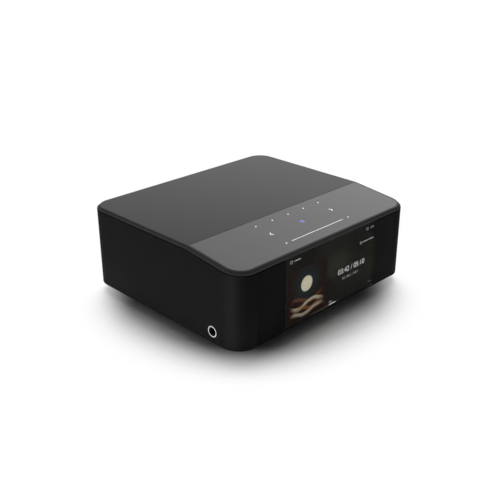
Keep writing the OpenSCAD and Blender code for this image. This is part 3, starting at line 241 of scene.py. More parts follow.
class Bench:
    """One piece in hand; it is open in edit mode or at rest, and its lengths are in millimetres."""

    def __init__(self, piece, name):
        self.piece = piece
        piece.name = piece.data.name = name
        bpy.ops.object.mode_set(mode="EDIT")
        self.all()

    @classmethod
    def start(cls, name, shape, **size):
        """A new primitive."""
        bpy.ops.object.select_all(action="DESELECT")
        getattr(bpy.ops.mesh, f"primitive_{shape}_add")(**size)
        return cls(bpy.context.object, name)

    @classmethod
    def plate(cls, name, low, high, height=0):
        """A flat rectangle from corner low to corner high at a height."""
        made = cls.start(name, "plane", size=MM)
        made.scale(high[0] - low[0], high[1] - low[1], 1)
        return made.move((low[0] + high[0]) / 2, (low[1] + high[1]) / 2, height)

    @classmethod
    def block(cls, name, low, high):
        """A box from corner low to corner high."""
        made = cls.start(name, "cube", size=MM)
        made.scale(*(b - a for a, b in zip(low, high)))
        return made.move(*((a + b) / 2 for a, b in zip(low, high)))

    @classmethod
    def disc(cls, name, radius, sides=48):
        """A flat disc around the origin."""
        return cls.start(name, "circle", vertices=sides, radius=radius * MM, fill_type="NGON")

    @classmethod
    def figures(cls, name, words, height, thick, slim=0.012):
        """Flat figures of a height, lying at the origin, with slimmer strokes."""
        bpy.ops.object.select_all(action="DESELECT")
        bpy.ops.object.text_add()
        text = bpy.context.object.data
        text.body, text.size, text.extrude = words, height * MM, thick * MM / 2
        text.offset = -slim * height * MM
        bpy.ops.object.convert(target="MESH")
        made = cls(bpy.context.object, name)
        tall = max(vert.co.y for vert in bmesh.from_edit_mesh(made.piece.data).verts) / MM
        return made.scale(height / tall, height / tall, 1)

    def twin(self):
        """A copy of the resting piece with its own mesh, open."""
        hold(self.piece)
        bpy.ops.object.duplicate()
        return Bench(bpy.context.object, self.piece.name)

    def scale(self, x, y, z):
        bpy.ops.transform.resize(value=(x, y, z), center_override=(0, 0, 0))
        return self

    def move(self, x, y, z):
        bpy.ops.transform.translate(value=(x * MM, y * MM, z * MM))
        return self

    def turn(self, degrees, axis, centre=(0, 0, 0)):
        """Turns what is selected, right-handed about an axis through a centre."""
        bpy.ops.transform.rotate(value=-math.radians(degrees), orient_axis=axis,
                                 center_override=tuple(value * MM for value in centre))
        return self

    def pick(self, kind, test):
        """Selects the points, edges or faces whose middle passes a test, with a face's normal."""
        bpy.ops.mesh.select_mode(type=kind)
        bpy.ops.mesh.select_all(action="DESELECT")
        mesh = bmesh.from_edit_mesh(self.piece.data)
        mesh.normal_update()
        found = []
        for item in {"FACE": mesh.faces, "EDGE": mesh.edges, "VERT": mesh.verts}[kind]:
            points = [item] if kind == "VERT" else item.verts
            place = sum((vert.co for vert in points), Vector()) / (len(points) * MM)
            if test(place, item.normal) if kind == "FACE" else test(place):
                found.append(item)
        if not found:
            raise RuntimeError(f"{self.piece.name}: nothing to select")
        for item in found:
            item.select_set(True)
        mesh.select_flush_mode()
        bmesh.update_edit_mesh(self.piece.data)
        return self

    def facing(self, axis, sign=1):
        """Selects the faces that look along an axis, or against it."""
        return self.pick("FACE", lambda place, way: getattr(way, axis) * sign > FACING)

    def level(self, height):
        """Selects the edges at a height."""
        return self.pick("EDGE", lambda place: abs(place.z - height) < NEAR)

    def all(self):
        bpy.ops.mesh.select_all(action="SELECT")
        return self

    def extrude(self, x, y, z):
        bpy.ops.mesh.extrude_region_move(TRANSFORM_OT_translate={"value": (x * MM, y * MM, z * MM)})
        return self

    def inset(self, width, depth=0):
        bpy.ops.mesh.inset(thickness=width * MM, depth=depth * MM, use_even_offset=True)
        return self

    def round_points(self, radius, segments):
        return self._bevel(radius, segments, "VERTICES")

    def round_edges(self, radius, segments=3):
        return self._bevel(radius, segments, "EDGES")

    def _bevel(self, radius, segments, affect):
        bpy.ops.mesh.bevel(offset=radius * MM, segments=segments, affect=affect,
                           clamp_overlap=False)
        return self

    def cut(self, place, way, **keep):
        """Cuts what is selected by a plane."""
        bpy.ops.mesh.bisect(plane_co=tuple(value * MM for value in place), plane_no=way, **keep)
        return self

    def cap(self):
        bpy.ops.mesh.edge_face_add()
        return self

    def remove(self):
        bpy.ops.mesh.delete(type="FACE")
        return self

    def punch(self):
        """Takes the face around the origin out."""
        return self.pick("FACE", lambda place, way: place.length < NEAR).remove()

    def rest(self):
        """Leaves edit mode with doubles merged and faces turned outwards."""
        bpy.ops.mesh.select_mode(type="VERT")
        self.all()
        bpy.ops.mesh.remove_doubles(threshold=0.001 * MM)
        bpy.ops.mesh.normals_make_consistent(inside=False)
        bpy.ops.object.mode_set(mode="OBJECT")
        return self

    def modify(self, kind, **settings):
        """Adds a modifier to the resting piece and applies it."""
        hold(self.piece)
        bpy.ops.object.modifier_add(type=kind)
        modifier = self.piece.modifiers[-1]
        for key, value in settings.items():
            setattr(modifier, key, value)
        bpy.ops.object.modifier_apply(modifier=modifier.name)
        return self

    def carve(self, *cutters):
        """Takes other resting pieces out of this resting piece."""
        for cutter in cutters:
            self.modify("BOOLEAN", operation="DIFFERENCE", solver="EXACT", object=cutter.piece)
            bpy.data.meshes.remove(cutter.piece.data)
        return self

    def soften(self, width, segments=2, over=40):
        """Rounds the resting piece's sharp edges."""
        return self.modify("BEVEL", width=width * MM, segments=segments, limit_method="ANGLE",
                           angle_limit=math.radians(over), use_clamp_overlap=True)

    @staticmethod
    def join(name, first, *others):
        """Makes resting pieces into one."""
        hold(first.piece, *(other.piece for other in others))
        bpy.ops.object.join()
        first.piece.name = first.piece.data.name = name
        return first

    def done(self, paint, slot, *nodes, smooth=32):
        """Shades, paints and hands over the resting piece."""
        hold(self.piece)
        bpy.ops.object.shade_smooth_by_angle(angle=math.radians(smooth))
        self.modify("WEIGHTED_NORMAL", weight=100, keep_sharp=True)
        if not self.piece.data.materials:
            self.piece.data.materials.append(paint)
        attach(self.piece, "case")
        if nodes:
            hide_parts(*nodes)
        return self.piece


# ------------------------------------------------------------------ paint

def math_method(operation, swapped=False):
    """A method that adds a Math node; its own value comes first, or last if swapped."""

    def method(self, *others):
        values = (*others, self) if swapped else (self, *others)
        return self.paint.node("Math", {"operation": operation}, dict(enumerate(values)))

    return method


class Value:
    """A number socket of a material; arithmetic on it adds Math nodes."""

    def __init__(self, paint, socket):
        self.paint, self.socket = paint, socket

    __add__, __radd__ = math_method("ADD"), math_method("ADD", swapped=True)
    __sub__, __rsub__ = math_method("SUBTRACT"), math_method("SUBTRACT", swapped=True)
    __mul__, __rmul__ = math_method("MULTIPLY"), math_method("MULTIPLY", swapped=True)
    __truediv__, __abs__ = math_method("DIVIDE"), math_method("ABSOLUTE")
    __gt__, __lt__ = math_method("GREATER_THAN"), math_method("LESS_THAN")
    sine, root, least = math_method("SINE"), math_method("SQRT"), math_method("MINIMUM")

    def ease(self, start, end):
        """0 before start, 1 after end, smooth between."""
        return self.paint.node("MapRange", {"interpolation_type": "SMOOTHSTEP"},
                               {"Value": self, "From Min": start, "From Max": end})

    def band(self, start, full, fade, end):
        """0 before start and after end, 1 from full to fade."""
        return self.ease(start, full) * (1 - self.ease(fade, end))


def distance(across, up):
    """How far a place is from where both values are 0."""
    return (across * across + up * up).root()


class Paint:
    """A node tree built from expressions."""

    def __init__(self, owner):
        owner.use_nodes = True
        self.owner, self.tree = owner, owner.node_tree
        self.tree.nodes.clear()

    @classmethod
    def new(cls, name):
        return cls(bpy.data.materials.new(name))

    def node(self, kind, settings=None, inputs=None, out=0):
        """A node of a kind, with its settings and then its sockets; gives one of its outputs."""
        made = self.tree.nodes.new("ShaderNode" + kind)
        for key, value in (settings or {}).items():
            setattr(made, key, value)
        for key, value in (inputs or {}).items():
            socket = made.inputs[key]
            if isinstance(value, Value):
                self.tree.links.new(value.socket, socket)
            elif socket.type == "RGBA" and len(value) == 3:
                socket.default_value = (*value, 1)
            else:
                socket.default_value = value
        return Value(self, made.outputs[out]) if made.outputs else made

    def place(self):
        """The point's place on the piece, x, y and z in millimetres."""
        where = self.node("TexCoord", out="Object")
        return [self.node("SeparateXYZ", inputs={0: where}, out=axis) * (1 / MM) for axis in "XYZ"]

    def grain(self, size, detail=3, rough=0.5, stretch=(1, 1, 1)):
        """Noise from 0 to 1 whose grains are about size millimetres."""
        where = self.node("TexCoord", out="Object")
        scaled = self.node("Mapping", inputs={"Vector": where,
                                              "Scale": tuple(1 / s for s in stretch)})
        return self.node("TexNoise", inputs={"Vector": scaled, "Scale": 1 / (size * MM),
                                             "Detail": detail, "Roughness": rough})

    def mix(self, share, first, second):
        """A colour between two."""
        return self.node("Mix", {"data_type": "RGBA"}, {0: share, 6: first, 7: second}, out=2)

    def shade(self, tint, low, high, share):
        """A colour scaled between two strengths."""
        return self.mix(share, tuple(c * low for c in tint),
                        tuple(min(c * high, 1) for c in tint))

    def bump(self, height, depth, strength=1):
        """A normal from a height; depth is the full height in millimetres."""
        return self.node("Bump", inputs={"Height": height, "Distance": depth * MM,
                                         "Strength": strength})

    def seen(self):
        """1 for rays of the camera, of reflections and of clear pieces."""
        camera, glossy, clear = (self.node("LightPath", out=f"Is {kind} Ray")
                                 for kind in ("Camera", "Glossy", "Transmission"))
        return (camera + glossy + clear).least(1)

    def surface(self, **inputs):
        """The principled surface, linked to the output."""
        names = {"base": "Base Color", "rough": "Roughness", "metal": "Metallic",
                 "normal": "Normal", "specular": "Specular IOR Level", "alpha": "Alpha",
                 "glow": "Emission Color", "glow_strength": "Emission Strength"}
        inputs = {names[key]: value for key, value in inputs.items()}
        body = self.node("BsdfPrincipled", inputs=inputs)
        self.node("OutputMaterial", inputs={"Surface": body})
        return self.owner


def grained(name, tint, tones, rough, fine, cloud, gains, bump, across=None, **constants):
    """A finish of fine grain and broad clouds.

    tones: strengths of the tint in the darkest and the palest cloud. fine, cloud: settings of the
    two noises. gains: what each of them adds to the roughness. bump: depth and strength of the fine
    grain. across: painted light and shade that goes across the piece, which leaves the clouds
    faint.
    """
    paint = Paint.new(name)
    fine, cloud = paint.grain(*fine), paint.grain(*cloud)
    share = across(*paint.place()) + (cloud - 0.5) * 0.12 if across else cloud
    for noise, gain in zip((fine, cloud), gains):
        rough = rough + noise * gain if gain else rough
    if bump:
        constants["normal"] = paint.bump(fine, *bump)
    return paint.surface(base=paint.shade(tint, *tones, share), rough=rough, **constants)


def satin_metal(name, tint, rough, specular, tones=(0.93, 1.07), across=None):
    """Blasted and lacquered metal, which may carry painted light and shade that goes across the
    piece.
    """
    return grained(name, tint, tones, rough - 0.03, (0.35, 2, 0.6), (26, 2), (0.03, 0.04),
                   (0.006, 0.35), across, specular=specular)


def bright_metal(name, tint, rough, size=0.5, stretch=(1, 1, 1)):
    """Bare or plated metal with fine drawing marks."""
    return grained(name, tint, (0.9, 1.0), rough, (size, 3, 0.6, stretch), (9, 2), (0.10, 0.05),
                   (0.004, 0.3), metal=1.0)


def moulded_plastic(name, tint, rough, size=0.5):
    """Spark-eroded moulded plastic."""
    return grained(name, tint, (0.9, 1.1), rough - 0.05, (size, 3, 0.6), (12, 2), (0.10, 0),
                   (0.02, 0.5), specular=0.4)


def soft_rubber(name, tint):
    """Matt rubber with a fine skin."""
    return grained(name, tint, (0.85, 1.2), 0.72, (0.7, 4, 0.65), (8, 2), (0.14, 0), (0.03, 0.6),
                   specular=0.3)


def wound_core(name, tint):
    """Sintered ferrite and varnished winding."""
    grain = (0.9, 4, 0.7)
    return grained(name, tint, (0.7, 1.4), 0.52, grain, grain, (0.2, 0), (0.04, 0.7), specular=0.4)


def lamp_plastic(name, tint):
    """Moulded lamp body, a little milky."""
    cloud = (1.2, 2)
    return grained(name, tint, (0.8, 1.1), 0.15, cloud, cloud, (0, 0.1), None, specular=0.5)


def smoked_glass(name, tint, rough, specular, half):
    """Dark coated glass with a painted sheen that makes it paler towards its right end, and a faint
    haze of handling.
    """
    paint = Paint.new(name)
    x, _, _ = paint.place()
    haze = paint.grain(18, 3)
    # Painted sheen: the tint grows paler towards the right end.
    return paint.surface(base=paint.shade(tint, 0.79, 1.25, x / (2 * half) + 0.47 + haze * 0.06),
                         specular=specular, rough=rough + haze * 0.05)


def window_glass(name, finish, size, foot):
    """Black-printed front glass, clear only before the display, and wider at its rear face.

    The printed sill below the clear part glows with painted display light, and the print is painted
    paler to the right as a painted reflection and paler towards the bottom as painted light.
    """
    paint = Paint.new(name)
    x, y, z = paint.place()
    haze = paint.grain(20, 3)
    soft, low, right = 0.3, foot + size.window_sill, size.window_right
    wider = 4 * (y > (PANE_LOW.y + PANE_HIGH.y) / 2)
    span = (x.ease(size.window_left - soft, size.window_left)
            * (1 - (x - wider).ease(right, right + soft)) * z.ease(foot, foot + 0.1))
    window = span * (z + wider).ease(low - soft, low)
    # Painted light: the printed sill glows with the display's ground.
    sill = span * (1 - z.ease(low - soft, low))
    # Painted reflection to the right and painted light towards the bottom in the print's tone.
    painted_reflection_rightward = (x - PANE_LOW.x) / (PANE_HIGH.x - PANE_LOW.x)
    painted_light_to_bottom = 1 - z.ease(PANE_LOW.z, PANE_LOW.z + 45)
    share = painted_reflection_rightward * 0.32 + painted_light_to_bottom * (0.6 - painted_reflection_rightward * 0.35) + haze * 0.2
    return paint.surface(base=paint.shade(finish.front_glass, 0.85, 1.7, share), specular=0.007,
                         rough=0.16 + haze * 0.06, alpha=1 - window * 0.93,
                         glow=paint.mix(sill, (0, 0, 0), finish.screen_ground), glow_strength=1.0)


def glow(name, tint, strength):
    """Light-guide print, a little cloudy."""
    paint = Paint.new(name)
    cloud = paint.grain(3, 1)
    return paint.surface(base=paint.shade(tint, 0.2, 0.3, cloud), rough=0.5, specular=0.2,
                         glow=paint.shade(tint, 0.94, 1.0, cloud), glow_strength=strength)


def ringed_metal(name, tint, core, y_middle, z_middle, inner, outer):
    """A satin silver ring between a dark inner and a dark outer flank."""
    paint = Paint.new(name)
    _, y, z = paint.place()
    fine = paint.grain(0.5, 3, 0.6)
    soft = 0.05
    plated = distance(y - y_middle, z - z_middle).band(inner - soft, inner + soft,
                                                       outer - soft, outer + soft)
    return paint.surface(base=paint.mix(plated, core, paint.shade(tint, 0.94, 1.0, fine)),
                         metal=plated, rough=0.58 + fine * 0.08, specular=0.2,
                         normal=paint.bump(fine, 0.004, 0.3))


def plated_shell(name, metal, core, face):
    """A plated socket shell painted as dark plastic behind its face: the tongues are plastic, and
    on the deep metal walls of the socket mouths this is painted shade.
    """
    paint = Paint.new(name)
    _, y, _ = paint.place()
    fine, cloud = paint.grain(0.5, 3, 0.6), paint.grain(6, 2)
    # Behind the face: plastic tongues, and painted shade on the mouths' deep metal walls.
    throat_plastic_and_painted_shade = y < face - 0.4
    return paint.surface(base=paint.mix(throat_plastic_and_painted_shade, paint.shade(metal, 0.88, 1.0, cloud), core),
                         metal=1 - throat_plastic_and_painted_shade, rough=0.20 + fine * 0.12 + throat_plastic_and_painted_shade * 0.25, specular=0.4,
                         normal=paint.bump(fine, 0.006, 0.3))


def channel_plastic(name, upper, lower, height):
    """Moulded insulators: one colour above a height, the other below."""
    paint = Paint.new(name)
    _, _, z = paint.place()
    fine = paint.grain(0.6, 3, 0.6)
    both = paint.mix(z > height, lower, upper)
    return paint.surface(base=paint.mix(fine * 0.12, both, (0.2, 0.2, 0.2)), specular=0.45,
                         rough=0.34 + fine * 0.10, normal=paint.bump(fine, 0.015, 0.4))


def circuit_board(name, tint, copper):
    """Solder mask over copper tracks, with plated pads in rows."""
    paint = Paint.new(name)
    x, y, z = paint.place()
    wander = paint.grain(9, 1)
    track = (x * 2.1 + wander * 5).sine() * (y * 1.9 + z * 1.7 - wander * 4).sine()
    track = track.ease(0.25, 0.35)
    pad = ((x * 2.4).sine() * (y * 2.4 + z * 2.4).sine()).ease(0.93, 0.95)
    pad = pad * wander.ease(0.52, 0.56)
    mask = paint.shade(tint, 0.75, 1.5, track)
    return paint.surface(base=paint.mix(pad, mask, copper), metal=pad * 0.9,
                         rough=0.38 - pad * 0.1, specular=0.5,
                         normal=paint.bump(track + pad, 0.03, 0.5))


def amber_film(name, tint, copper):
    """Flexible film with parallel copper tracks under it."""
    paint = Paint.new(name)
    x, y, z = paint.place()
    track = ((x + y * 0.35 + z * 0.35) * 4.2).sine().ease(0.1, 0.4)
    return paint.surface(base=paint.mix(track * 0.6, tint, copper), rough=0.30 + track * 0.08,
                         specular=0.5, normal=paint.bump(track, 0.02, 0.5))


# Colour of the display when it is off, and what its unlit edge gives off.
SCREEN_OFF, UNLIT = (0.003, 0.003, 0.003), (0.001, 0.001, 0.001)


def screen_ground(name, finish, size):
    """The display's blurred dark ground, dark outside its lit part."""
    paint = Paint.new(name)
    x, _, z = paint.place()
    blur = paint.grain(45, 0)
    spot = 1 - distance((x - 10) / 25, (z - 46) / 17).ease(0, 1.15)
    side = x.ease(40, 62) * (1 - abs((z - 38) / 24).ease(0.5, 1))
    lift = (spot * 0.8 + side * 0.3 + blur.ease(0.40, 0.75) * 0.2).least(1)
    strip = 1 - abs((x + 6) / 22).ease(0.35, 1)
    strip = strip * (1 - z.ease(size.lit_low + 1.2, size.lit_low + 3.5))
    tone = paint.mix(lift, finish.screen_ground, finish.screen_patch)
    tone = paint.mix(strip * 0.8, tone, finish.screen_strip)
    soft = 0.3
    lit = (x.ease(size.lit_left - soft, size.lit_left + soft)
           * z.ease(size.lit_low - soft, size.lit_low + soft))
    return paint.surface(base=SCREEN_OFF, rough=0.25 + blur * 0.05, specular=0.01,
                         glow=paint.mix(lit, UNLIT, tone), glow_strength=1.0)


def picture_print(name, finish, left, low, side):
    """A made-up picture: a pale disc over layered pale and warm ridges on a dark ground."""
    paint = Paint.new(name)
    x, _, z = paint.place()
    across, up = (x - left) / side, (z - low) / side
    fine, cloud = paint.grain(2.2, 4, 0.6), paint.grain(11, 2)
    far = distance(across - 0.47, up - 0.66)
    disc = 1 - far.ease(0.135, 0.155)
    halo = 1 - far.ease(0.10, 0.48)
    cream, amber = finish.picture_cream, finish.picture_amber
    tone = paint.mix(halo * 0.75, finish.picture_ground, finish.picture_teal)
    tone = paint.mix(disc * (0.55 + fine * 0.45), tone, cream)
    middle = 1 - (abs(across - 0.5) * 2).ease(0.55, 0.95)
    ridges = ((0.40, 0.055, 7.3, 0.4, amber, 0.55), (0.31, 0.045, 9.1, 2.2, cream, 0.62),
              (0.23, 0.040, 11.7, 4.0, amber, 0.9), (0.155, 0.030, 8.2, 1.1, cream, 0.5))
    for height, swing, rate, start, tint, strength in ridges:
        line = height + (across * rate + start).sine() * swing + (cloud - 0.5) * 0.06
        under = (line - up).band(0, 0.012, 0.045, 0.095)
        tone = paint.mix(under * middle * (0.25 + fine * 0.75) * strength, tone, tint)
    return paint.surface(base=SCREEN_OFF, rough=0.3 + fine * 0.05, specular=0.01,
                         glow=tone, glow_strength=1.1)


def studio_floor(name, tint, stage):
    """Pale floor that keeps the shadow near the object and is plain white further away."""
    paint = Paint.new(name)
    x, y, _ = paint.place()
    far, fine = distance(x, y), paint.grain(60, 2)
    lit = paint.node("BsdfDiffuse", inputs={"Color": paint.shade(tint, 0.995, 1.0, fine)})
    plain = paint.node("Emission", inputs={"Color": (1, 1, 1), "Strength": 1.0})
    aside = abs(x - y) * math.sqrt(0.5)
    near = ((1 - far.ease(stage.shadow_fade / MM, stage.shadow_reach / MM))
            * (1 - aside.ease(stage.shadow_side / MM, stage.shadow_end / MM)))
    share = (1 - near) * paint.seen()
    body = paint.node("MixShader", inputs={0: share, 1: lit, 2: plain})
    paint.node("OutputMaterial", inputs={"Surface": body})
    return paint.owner


# ------------------------------------------------------------------ operators

def settings(context):
    """The sizes in millimetres and the finishes."""
    return in_mm(context.scene.streamer_sizes), context.scene.streamer_finish


def slope_angle(size):
    """How far the slope leans, in degrees."""
    return math.degrees(math.atan2(size.slope_drop, size.slope_run))


def slope_length(size):
    """Length of the cover's slope, measured along it to the rim's foot."""
    lean_angle = math.radians(slope_angle(size))
    return (size.slope_run + size.rim_drop * math.sin(lean_angle)) / math.cos(lean_angle)


def screw_places(node, size, axis):
    """Where a node's four screws stand: x, and y or z."""
    low, high = node_box(node)
    head = size.screw_head
    return [(x, other) for x in (low.x + head, high.x - head)
            for other in (getattr(low, axis) + head, getattr(high, axis) - head)]


def lean(bench, size):
    """Turns what is selected from flat to the slope, about the bend."""
    return bench.turn(slope_angle(size), "X", (0, size.bend, size.top))


class STREAMER_OT_cover(bpy.types.Operator):
    """Models the top: flat rear zone, slope with the touch glass's seat, and bevelled rim"""

    bl_idname = "streamer.cover"
    bl_label = "Top cover"

    FOOT_EDGE = 0.3
    STEEPEST, FLATTEST = 0.2, 0.92  # cosines between which a face belongs to the rim
    ZONE_MARGIN, LIP_MARGIN = 7, 1

    def execute(self, context):
        size, finish = settings(context)
        half, rear = size.case_width / 2, size.case_depth / 2
        foot, front = size.top - size.rim_drop, size.bend - slope_length(size)
        bench = Bench.plate("cover", (-half, front), (half, rear), foot)
        steep_in = size.rim_in - size.rim_low_in - size.rim_roll_in
        steep_up = size.rim_drop - size.rim_low_up - size.rim_roll_up
        bench.round_points(size.corner, CORNER_STEPS).inset(size.rim_low_in, size.rim_low_up)
        bench.inset(steep_in, steep_up).inset(size.rim_roll_in, size.rim_roll_up)
        bench.level(foot + size.rim_low_up)
        bpy.ops.mesh.mark_sharp()
        bench.level(size.top - size.rim_roll_up).round_edges(size.rim_soft)
        bench.level(foot).cap()
        bench.level(foot).round_edges(self.FOOT_EDGE)
        bench.all().cut((0, size.bend, 0), (0, 1, 0))
        self.seat(bench, size, front)
        self.paint(bench, size, finish)
        bench.pick("VERT", lambda place: place.y < size.bend - NEAR)
        lean(bench, size)
        bench.rest().done(None, "case_metal", "top_cover", smooth=25)
        return {"FINISHED"}

    def seat(self, bench, size, front):
        """Sinks the touch glass's seat into the still flat front zone."""
        margin = size.glass_edge

        def zone(place, way):
            return (way.z > FLAT and abs(place.x) < MIDDLE
                    and front + self.ZONE_MARGIN < place.y < size.bend - self.ZONE_MARGIN)

        bench.pick("FACE", zone).inset(margin)
        edge = size.bend - margin
        bench.pick("VERT", lambda place: abs(place.y - edge) < 2 * NEAR
                   and place.z > size.top - NEAR)
        bench.move(0, margin - size.glass_bend, 0)
        bench.pick("FACE", zone).extrude(0, 0, -size.glass_thick)

    def paint(self, bench, size, finish):
        """Paints the top with a painted sheen that grows paler to the right, and then the rim and
        the lip beside the glass with the rim's paint: a paler, nearly unreflecting copy of the same
        metal, as painted light on the bevel and painted shade along the right lip.
        """
        half = size.case_width / 2
        # Painted sheen: the top's tone grows paler from left to right.
        top = satin_metal("cover satin painted sheen", finish.cover_metal, 0.34, 0.14, (0.5, 1.5),
                          lambda x, y, z: x / (2 * half) + 0.5)
        # The rim paint is a paler, nearly unreflecting copy of the top's metal: painted light on
        # the bevel, painted shade on the right lip.
        rim = satin_metal("rim satin", finish.rim_painted_light_metal, 0.60, 0.012)
        for paint in (top, rim):
            bench.piece.data.materials.append(paint)
        lip = half - size.rim_in - size.glass_edge
        bench.pick("FACE", lambda place, way: self.STEEPEST < way.z < self.FLATTEST
                   or way.z > 0 and place.x > lip and place.y < size.bend - self.LIP_MARGIN)
        bench.piece.active_material_index = 1
        bpy.ops.object.material_slot_assign()


class STREAMER_OT_walls(bpy.types.Operator):
    """Models the wrap of side, rear and corner walls"""

    bl_idname = "streamer.walls"
    bl_label = "Case walls"

    JACK_GAP, SHANK_GAP, HEAD_GAP = 0.08, 0.1, 0.15
    BAY_STEPS, THROUGH = 8, 1.2  # the second in case widths

    def execute(self, context):
        size, finish = settings(context)
        half, rear = size.case_width / 2, size.case_depth / 2
        seam = size.rim_drop + size.seal
        leaning = math.radians(slope_angle(size))
        bench = Bench.plate("case_walls", (-half, -rear), (half, rear), size.case_foot)
        bench.round_points(size.corner, CORNER_STEPS)
        bench.extrude(0, 0, size.top - seam - size.case_foot)
        bench.pick("FACE", lambda place, way: abs(way.z) > FACING).remove()
        bench.all().cut((0, size.bend + seam * math.tan(leaning / 2), size.top - seam),
                        (0, -math.sin(leaning), math.cos(leaning)), clear_outer=True)
        for side in (PANE_LOW.x - size.pane_gap, PANE_HIGH.x + size.pane_gap):
            bench.pick("FACE", lambda place, way: way.y < -FLAT).cut((side, 0, 0), (1, 0, 0))
        bench.pick("FACE", lambda place, way: way.y < -FLAT and abs(place.x) < MIDDLE).remove()
        bench.rest().modify("SOLIDIFY", thickness=size.wall * MM, offset=-1, use_even_offset=True)
        bench.carve(self.bay(size, rear), self.jacks(size), *self.screw_seats(size, rear))
        bench.soften(size.wall_edge, 3)

        def tone(x, y, z):
            """Painted shade beside the front glass, a painted highlight on the corner's turn, and
            painted light that makes the walls paler towards the bottom and darker towards the top.
            """
            back, up = y + rear, z - size.case_foot
            return (back.ease(-2, 9) * 0.41 + back.band(3, 10, 10, 21) * 0.32 + 0.06
                    + (1 - up.ease(-5, 36)) * 0.34 - up.ease(25, 68) * 0.12)

        # The walls' tones carry the painted shade, highlight and light of the tone above.
        paint = satin_metal("wall satin painted shade", finish.case_metal, 0.60, 0.012, (0.42, 1.70), tone)
        bench.done(paint, "case_metal", "body_shell")
        return {"FINISHED"}

    def bay(self, size, rear):
        """Cutter for the socket bay's opening."""
        half, tall = size.bay_width / 2, size.bay_height / 2
        cutter = Bench.plate("bay_cut", (-half, size.bay_middle - tall),
                             (half, size.bay_middle + tall))
        cutter.round_points(size.bay_corner, self.BAY_STEPS).all().extrude(0, 0, 4 * size.wall)
        return cutter.all().turn(90, "X").move(0, rear + 2 * size.wall, 0).rest()

    def jacks(self, size):
        """Cutter for the two headphone sockets' rings."""
        radius = (RING_HIGH.z - RING_LOW.z) / 2 + self.JACK_GAP
        cutter = Bench.start("jack_cut", "cylinder", vertices=RING_SIDES, radius=radius * MM,
                             depth=size.case_width * self.THROUGH * MM)
        return cutter.turn(90, "Y").move(0, size.jack_y, size.jack_z).rest()

    def screw_seats(self, size, rear):
        """Countersunk cutters for the screws of the rear panel."""
        for x, z in screw_places("rear_screws", size, "z"):
            cutter = Bench.start("seat_cut", "cone", vertices=SCREW_SIDES,
                                 radius1=(size.screw_shank + self.SHANK_GAP) * MM,
                                 radius2=(size.screw_head + self.HEAD_GAP) * MM,
                                 depth=size.screw_sink * MM)
            cutter.facing("z").extrude(0, 0, 1)
            cutter.facing("z", -1).extrude(0, 0, -size.wall)
            cutter.all().turn(-90, "X").move(x, rear - size.screw_sink / 2, z)
            yield cutter.rest()


class STREAMER_OT_touch(bpy.types.Operator):
    """Models the touch glass on the slope and its lit marks"""

    bl_idname = "streamer.touch"
    bl_label = "Touch glass and marks"

    GLASS_STEPS, GLASS_ROUND = 24, 0.18
    PROUD, THICK, DOT_SIDES = 0.03, 0.08, 20
    PRESET_ROW, KEY_ROW, VOLUME_ROW = 9.8, 26.5, 45.0  # down from the bend
    ARROW_LINE, ARROW_ARM = 0.5, 2.8
    LINE_ENDS = (-1.67, 1.64)  # in pitches
    PLAY_SIDE, PLAY_LINE, PLAY_ROUND, PLAY_STEPS = 3.2, 0.34, 0.8, 5

    def execute(self, context):
        size, finish = settings(context)
        edge = size.rim_in + size.glass_edge + size.glass_gap
        half = size.case_width / 2 - edge
        rear = size.bend - size.glass_bend - size.glass_gap
        front = size.bend - slope_length(size) + edge
        glass = Bench.plate("touch_glass", (-half, front), (half, rear),
                            size.top - size.glass_thick)
        glass.pick("VERT", lambda place: place.y < (front + rear) / 2)
        glass.round_points(size.corner - edge, self.GLASS_STEPS)
        glass.all().extrude(0, 0, size.glass_thick)
        glass.level(size.top).round_edges(self.GLASS_ROUND, 2)
        lean(glass.all(), size)
        paint = smoked_glass("touch smoke painted sheen", finish.touch_glass, 0.20, 0.08, half)
        glass.rest().done(paint, "touch_glass", "touch_panel")
        self.white_marks(size, finish)
        self.play_mark(size, finish)
        return {"FINISHED"}

    def lay(self, bench, size):
        """Gives a flat mark its thickness and lays it on the slope."""
        bench.all().extrude(0, 0, self.THICK)
        return lean(bench.all().move(0, 0, size.top + self.PROUD - self.THICK), size).rest()

    def white_marks(self, size, finish):
        """Preset dots, skip arrows, volume dots and the volume line."""
        pitch, thin, bold = size.mark_pitch, size.mark_line / 2, self.ARROW_LINE / 2
        presets, keys, volume = (size.bend - row
                                 for row in (self.PRESET_ROW, self.KEY_ROW, self.VOLUME_ROW))
        spots = [(step * pitch, presets) for step in range(-2, 3)]
        spots += [(-2 * pitch, volume), (2 * pitch, volume)]
        marks = []
        for x, y in spots:
            dot = Bench.disc("mark", size.mark_dot, self.DOT_SIDES).move(x, y, 0)
            marks.append(self.lay(dot, size))
        for side in (-1, 1):
            for way in (-1, 1):
                arm = Bench.plate("mark", (-bold, -bold), (self.ARROW_ARM, bold))
                arm.turn(90 + side * 90 + way * 45, "Z").move(side * (2 * pitch - bold), keys, 0)
                marks.append(self.lay(arm, size))
        left, right = (end * pitch for end in self.LINE_ENDS)
        line = Bench.plate("mark", (left, volume - thin), (right, volume + thin))
        marks.append(self.lay(line, size))
        paint = glow("mark white", finish.mark_white, 1.5)
        Bench.join("touch_marks", *marks).done(paint, "lamp_clear")

    def play_mark(self, size, finish):
        """A small rounded square ring."""
        half = self.PLAY_SIDE / 2
        play = Bench.plate("play_mark", (-half, -half), (half, half))
        play.round_points(self.PLAY_ROUND, self.PLAY_STEPS).inset(self.PLAY_LINE).punch()
        self.lay(play.all().move(0, size.bend - self.KEY_ROW, 0), size).done(
            glow("mark violet", finish.mark_violet, 1.9), "lamp_clear")


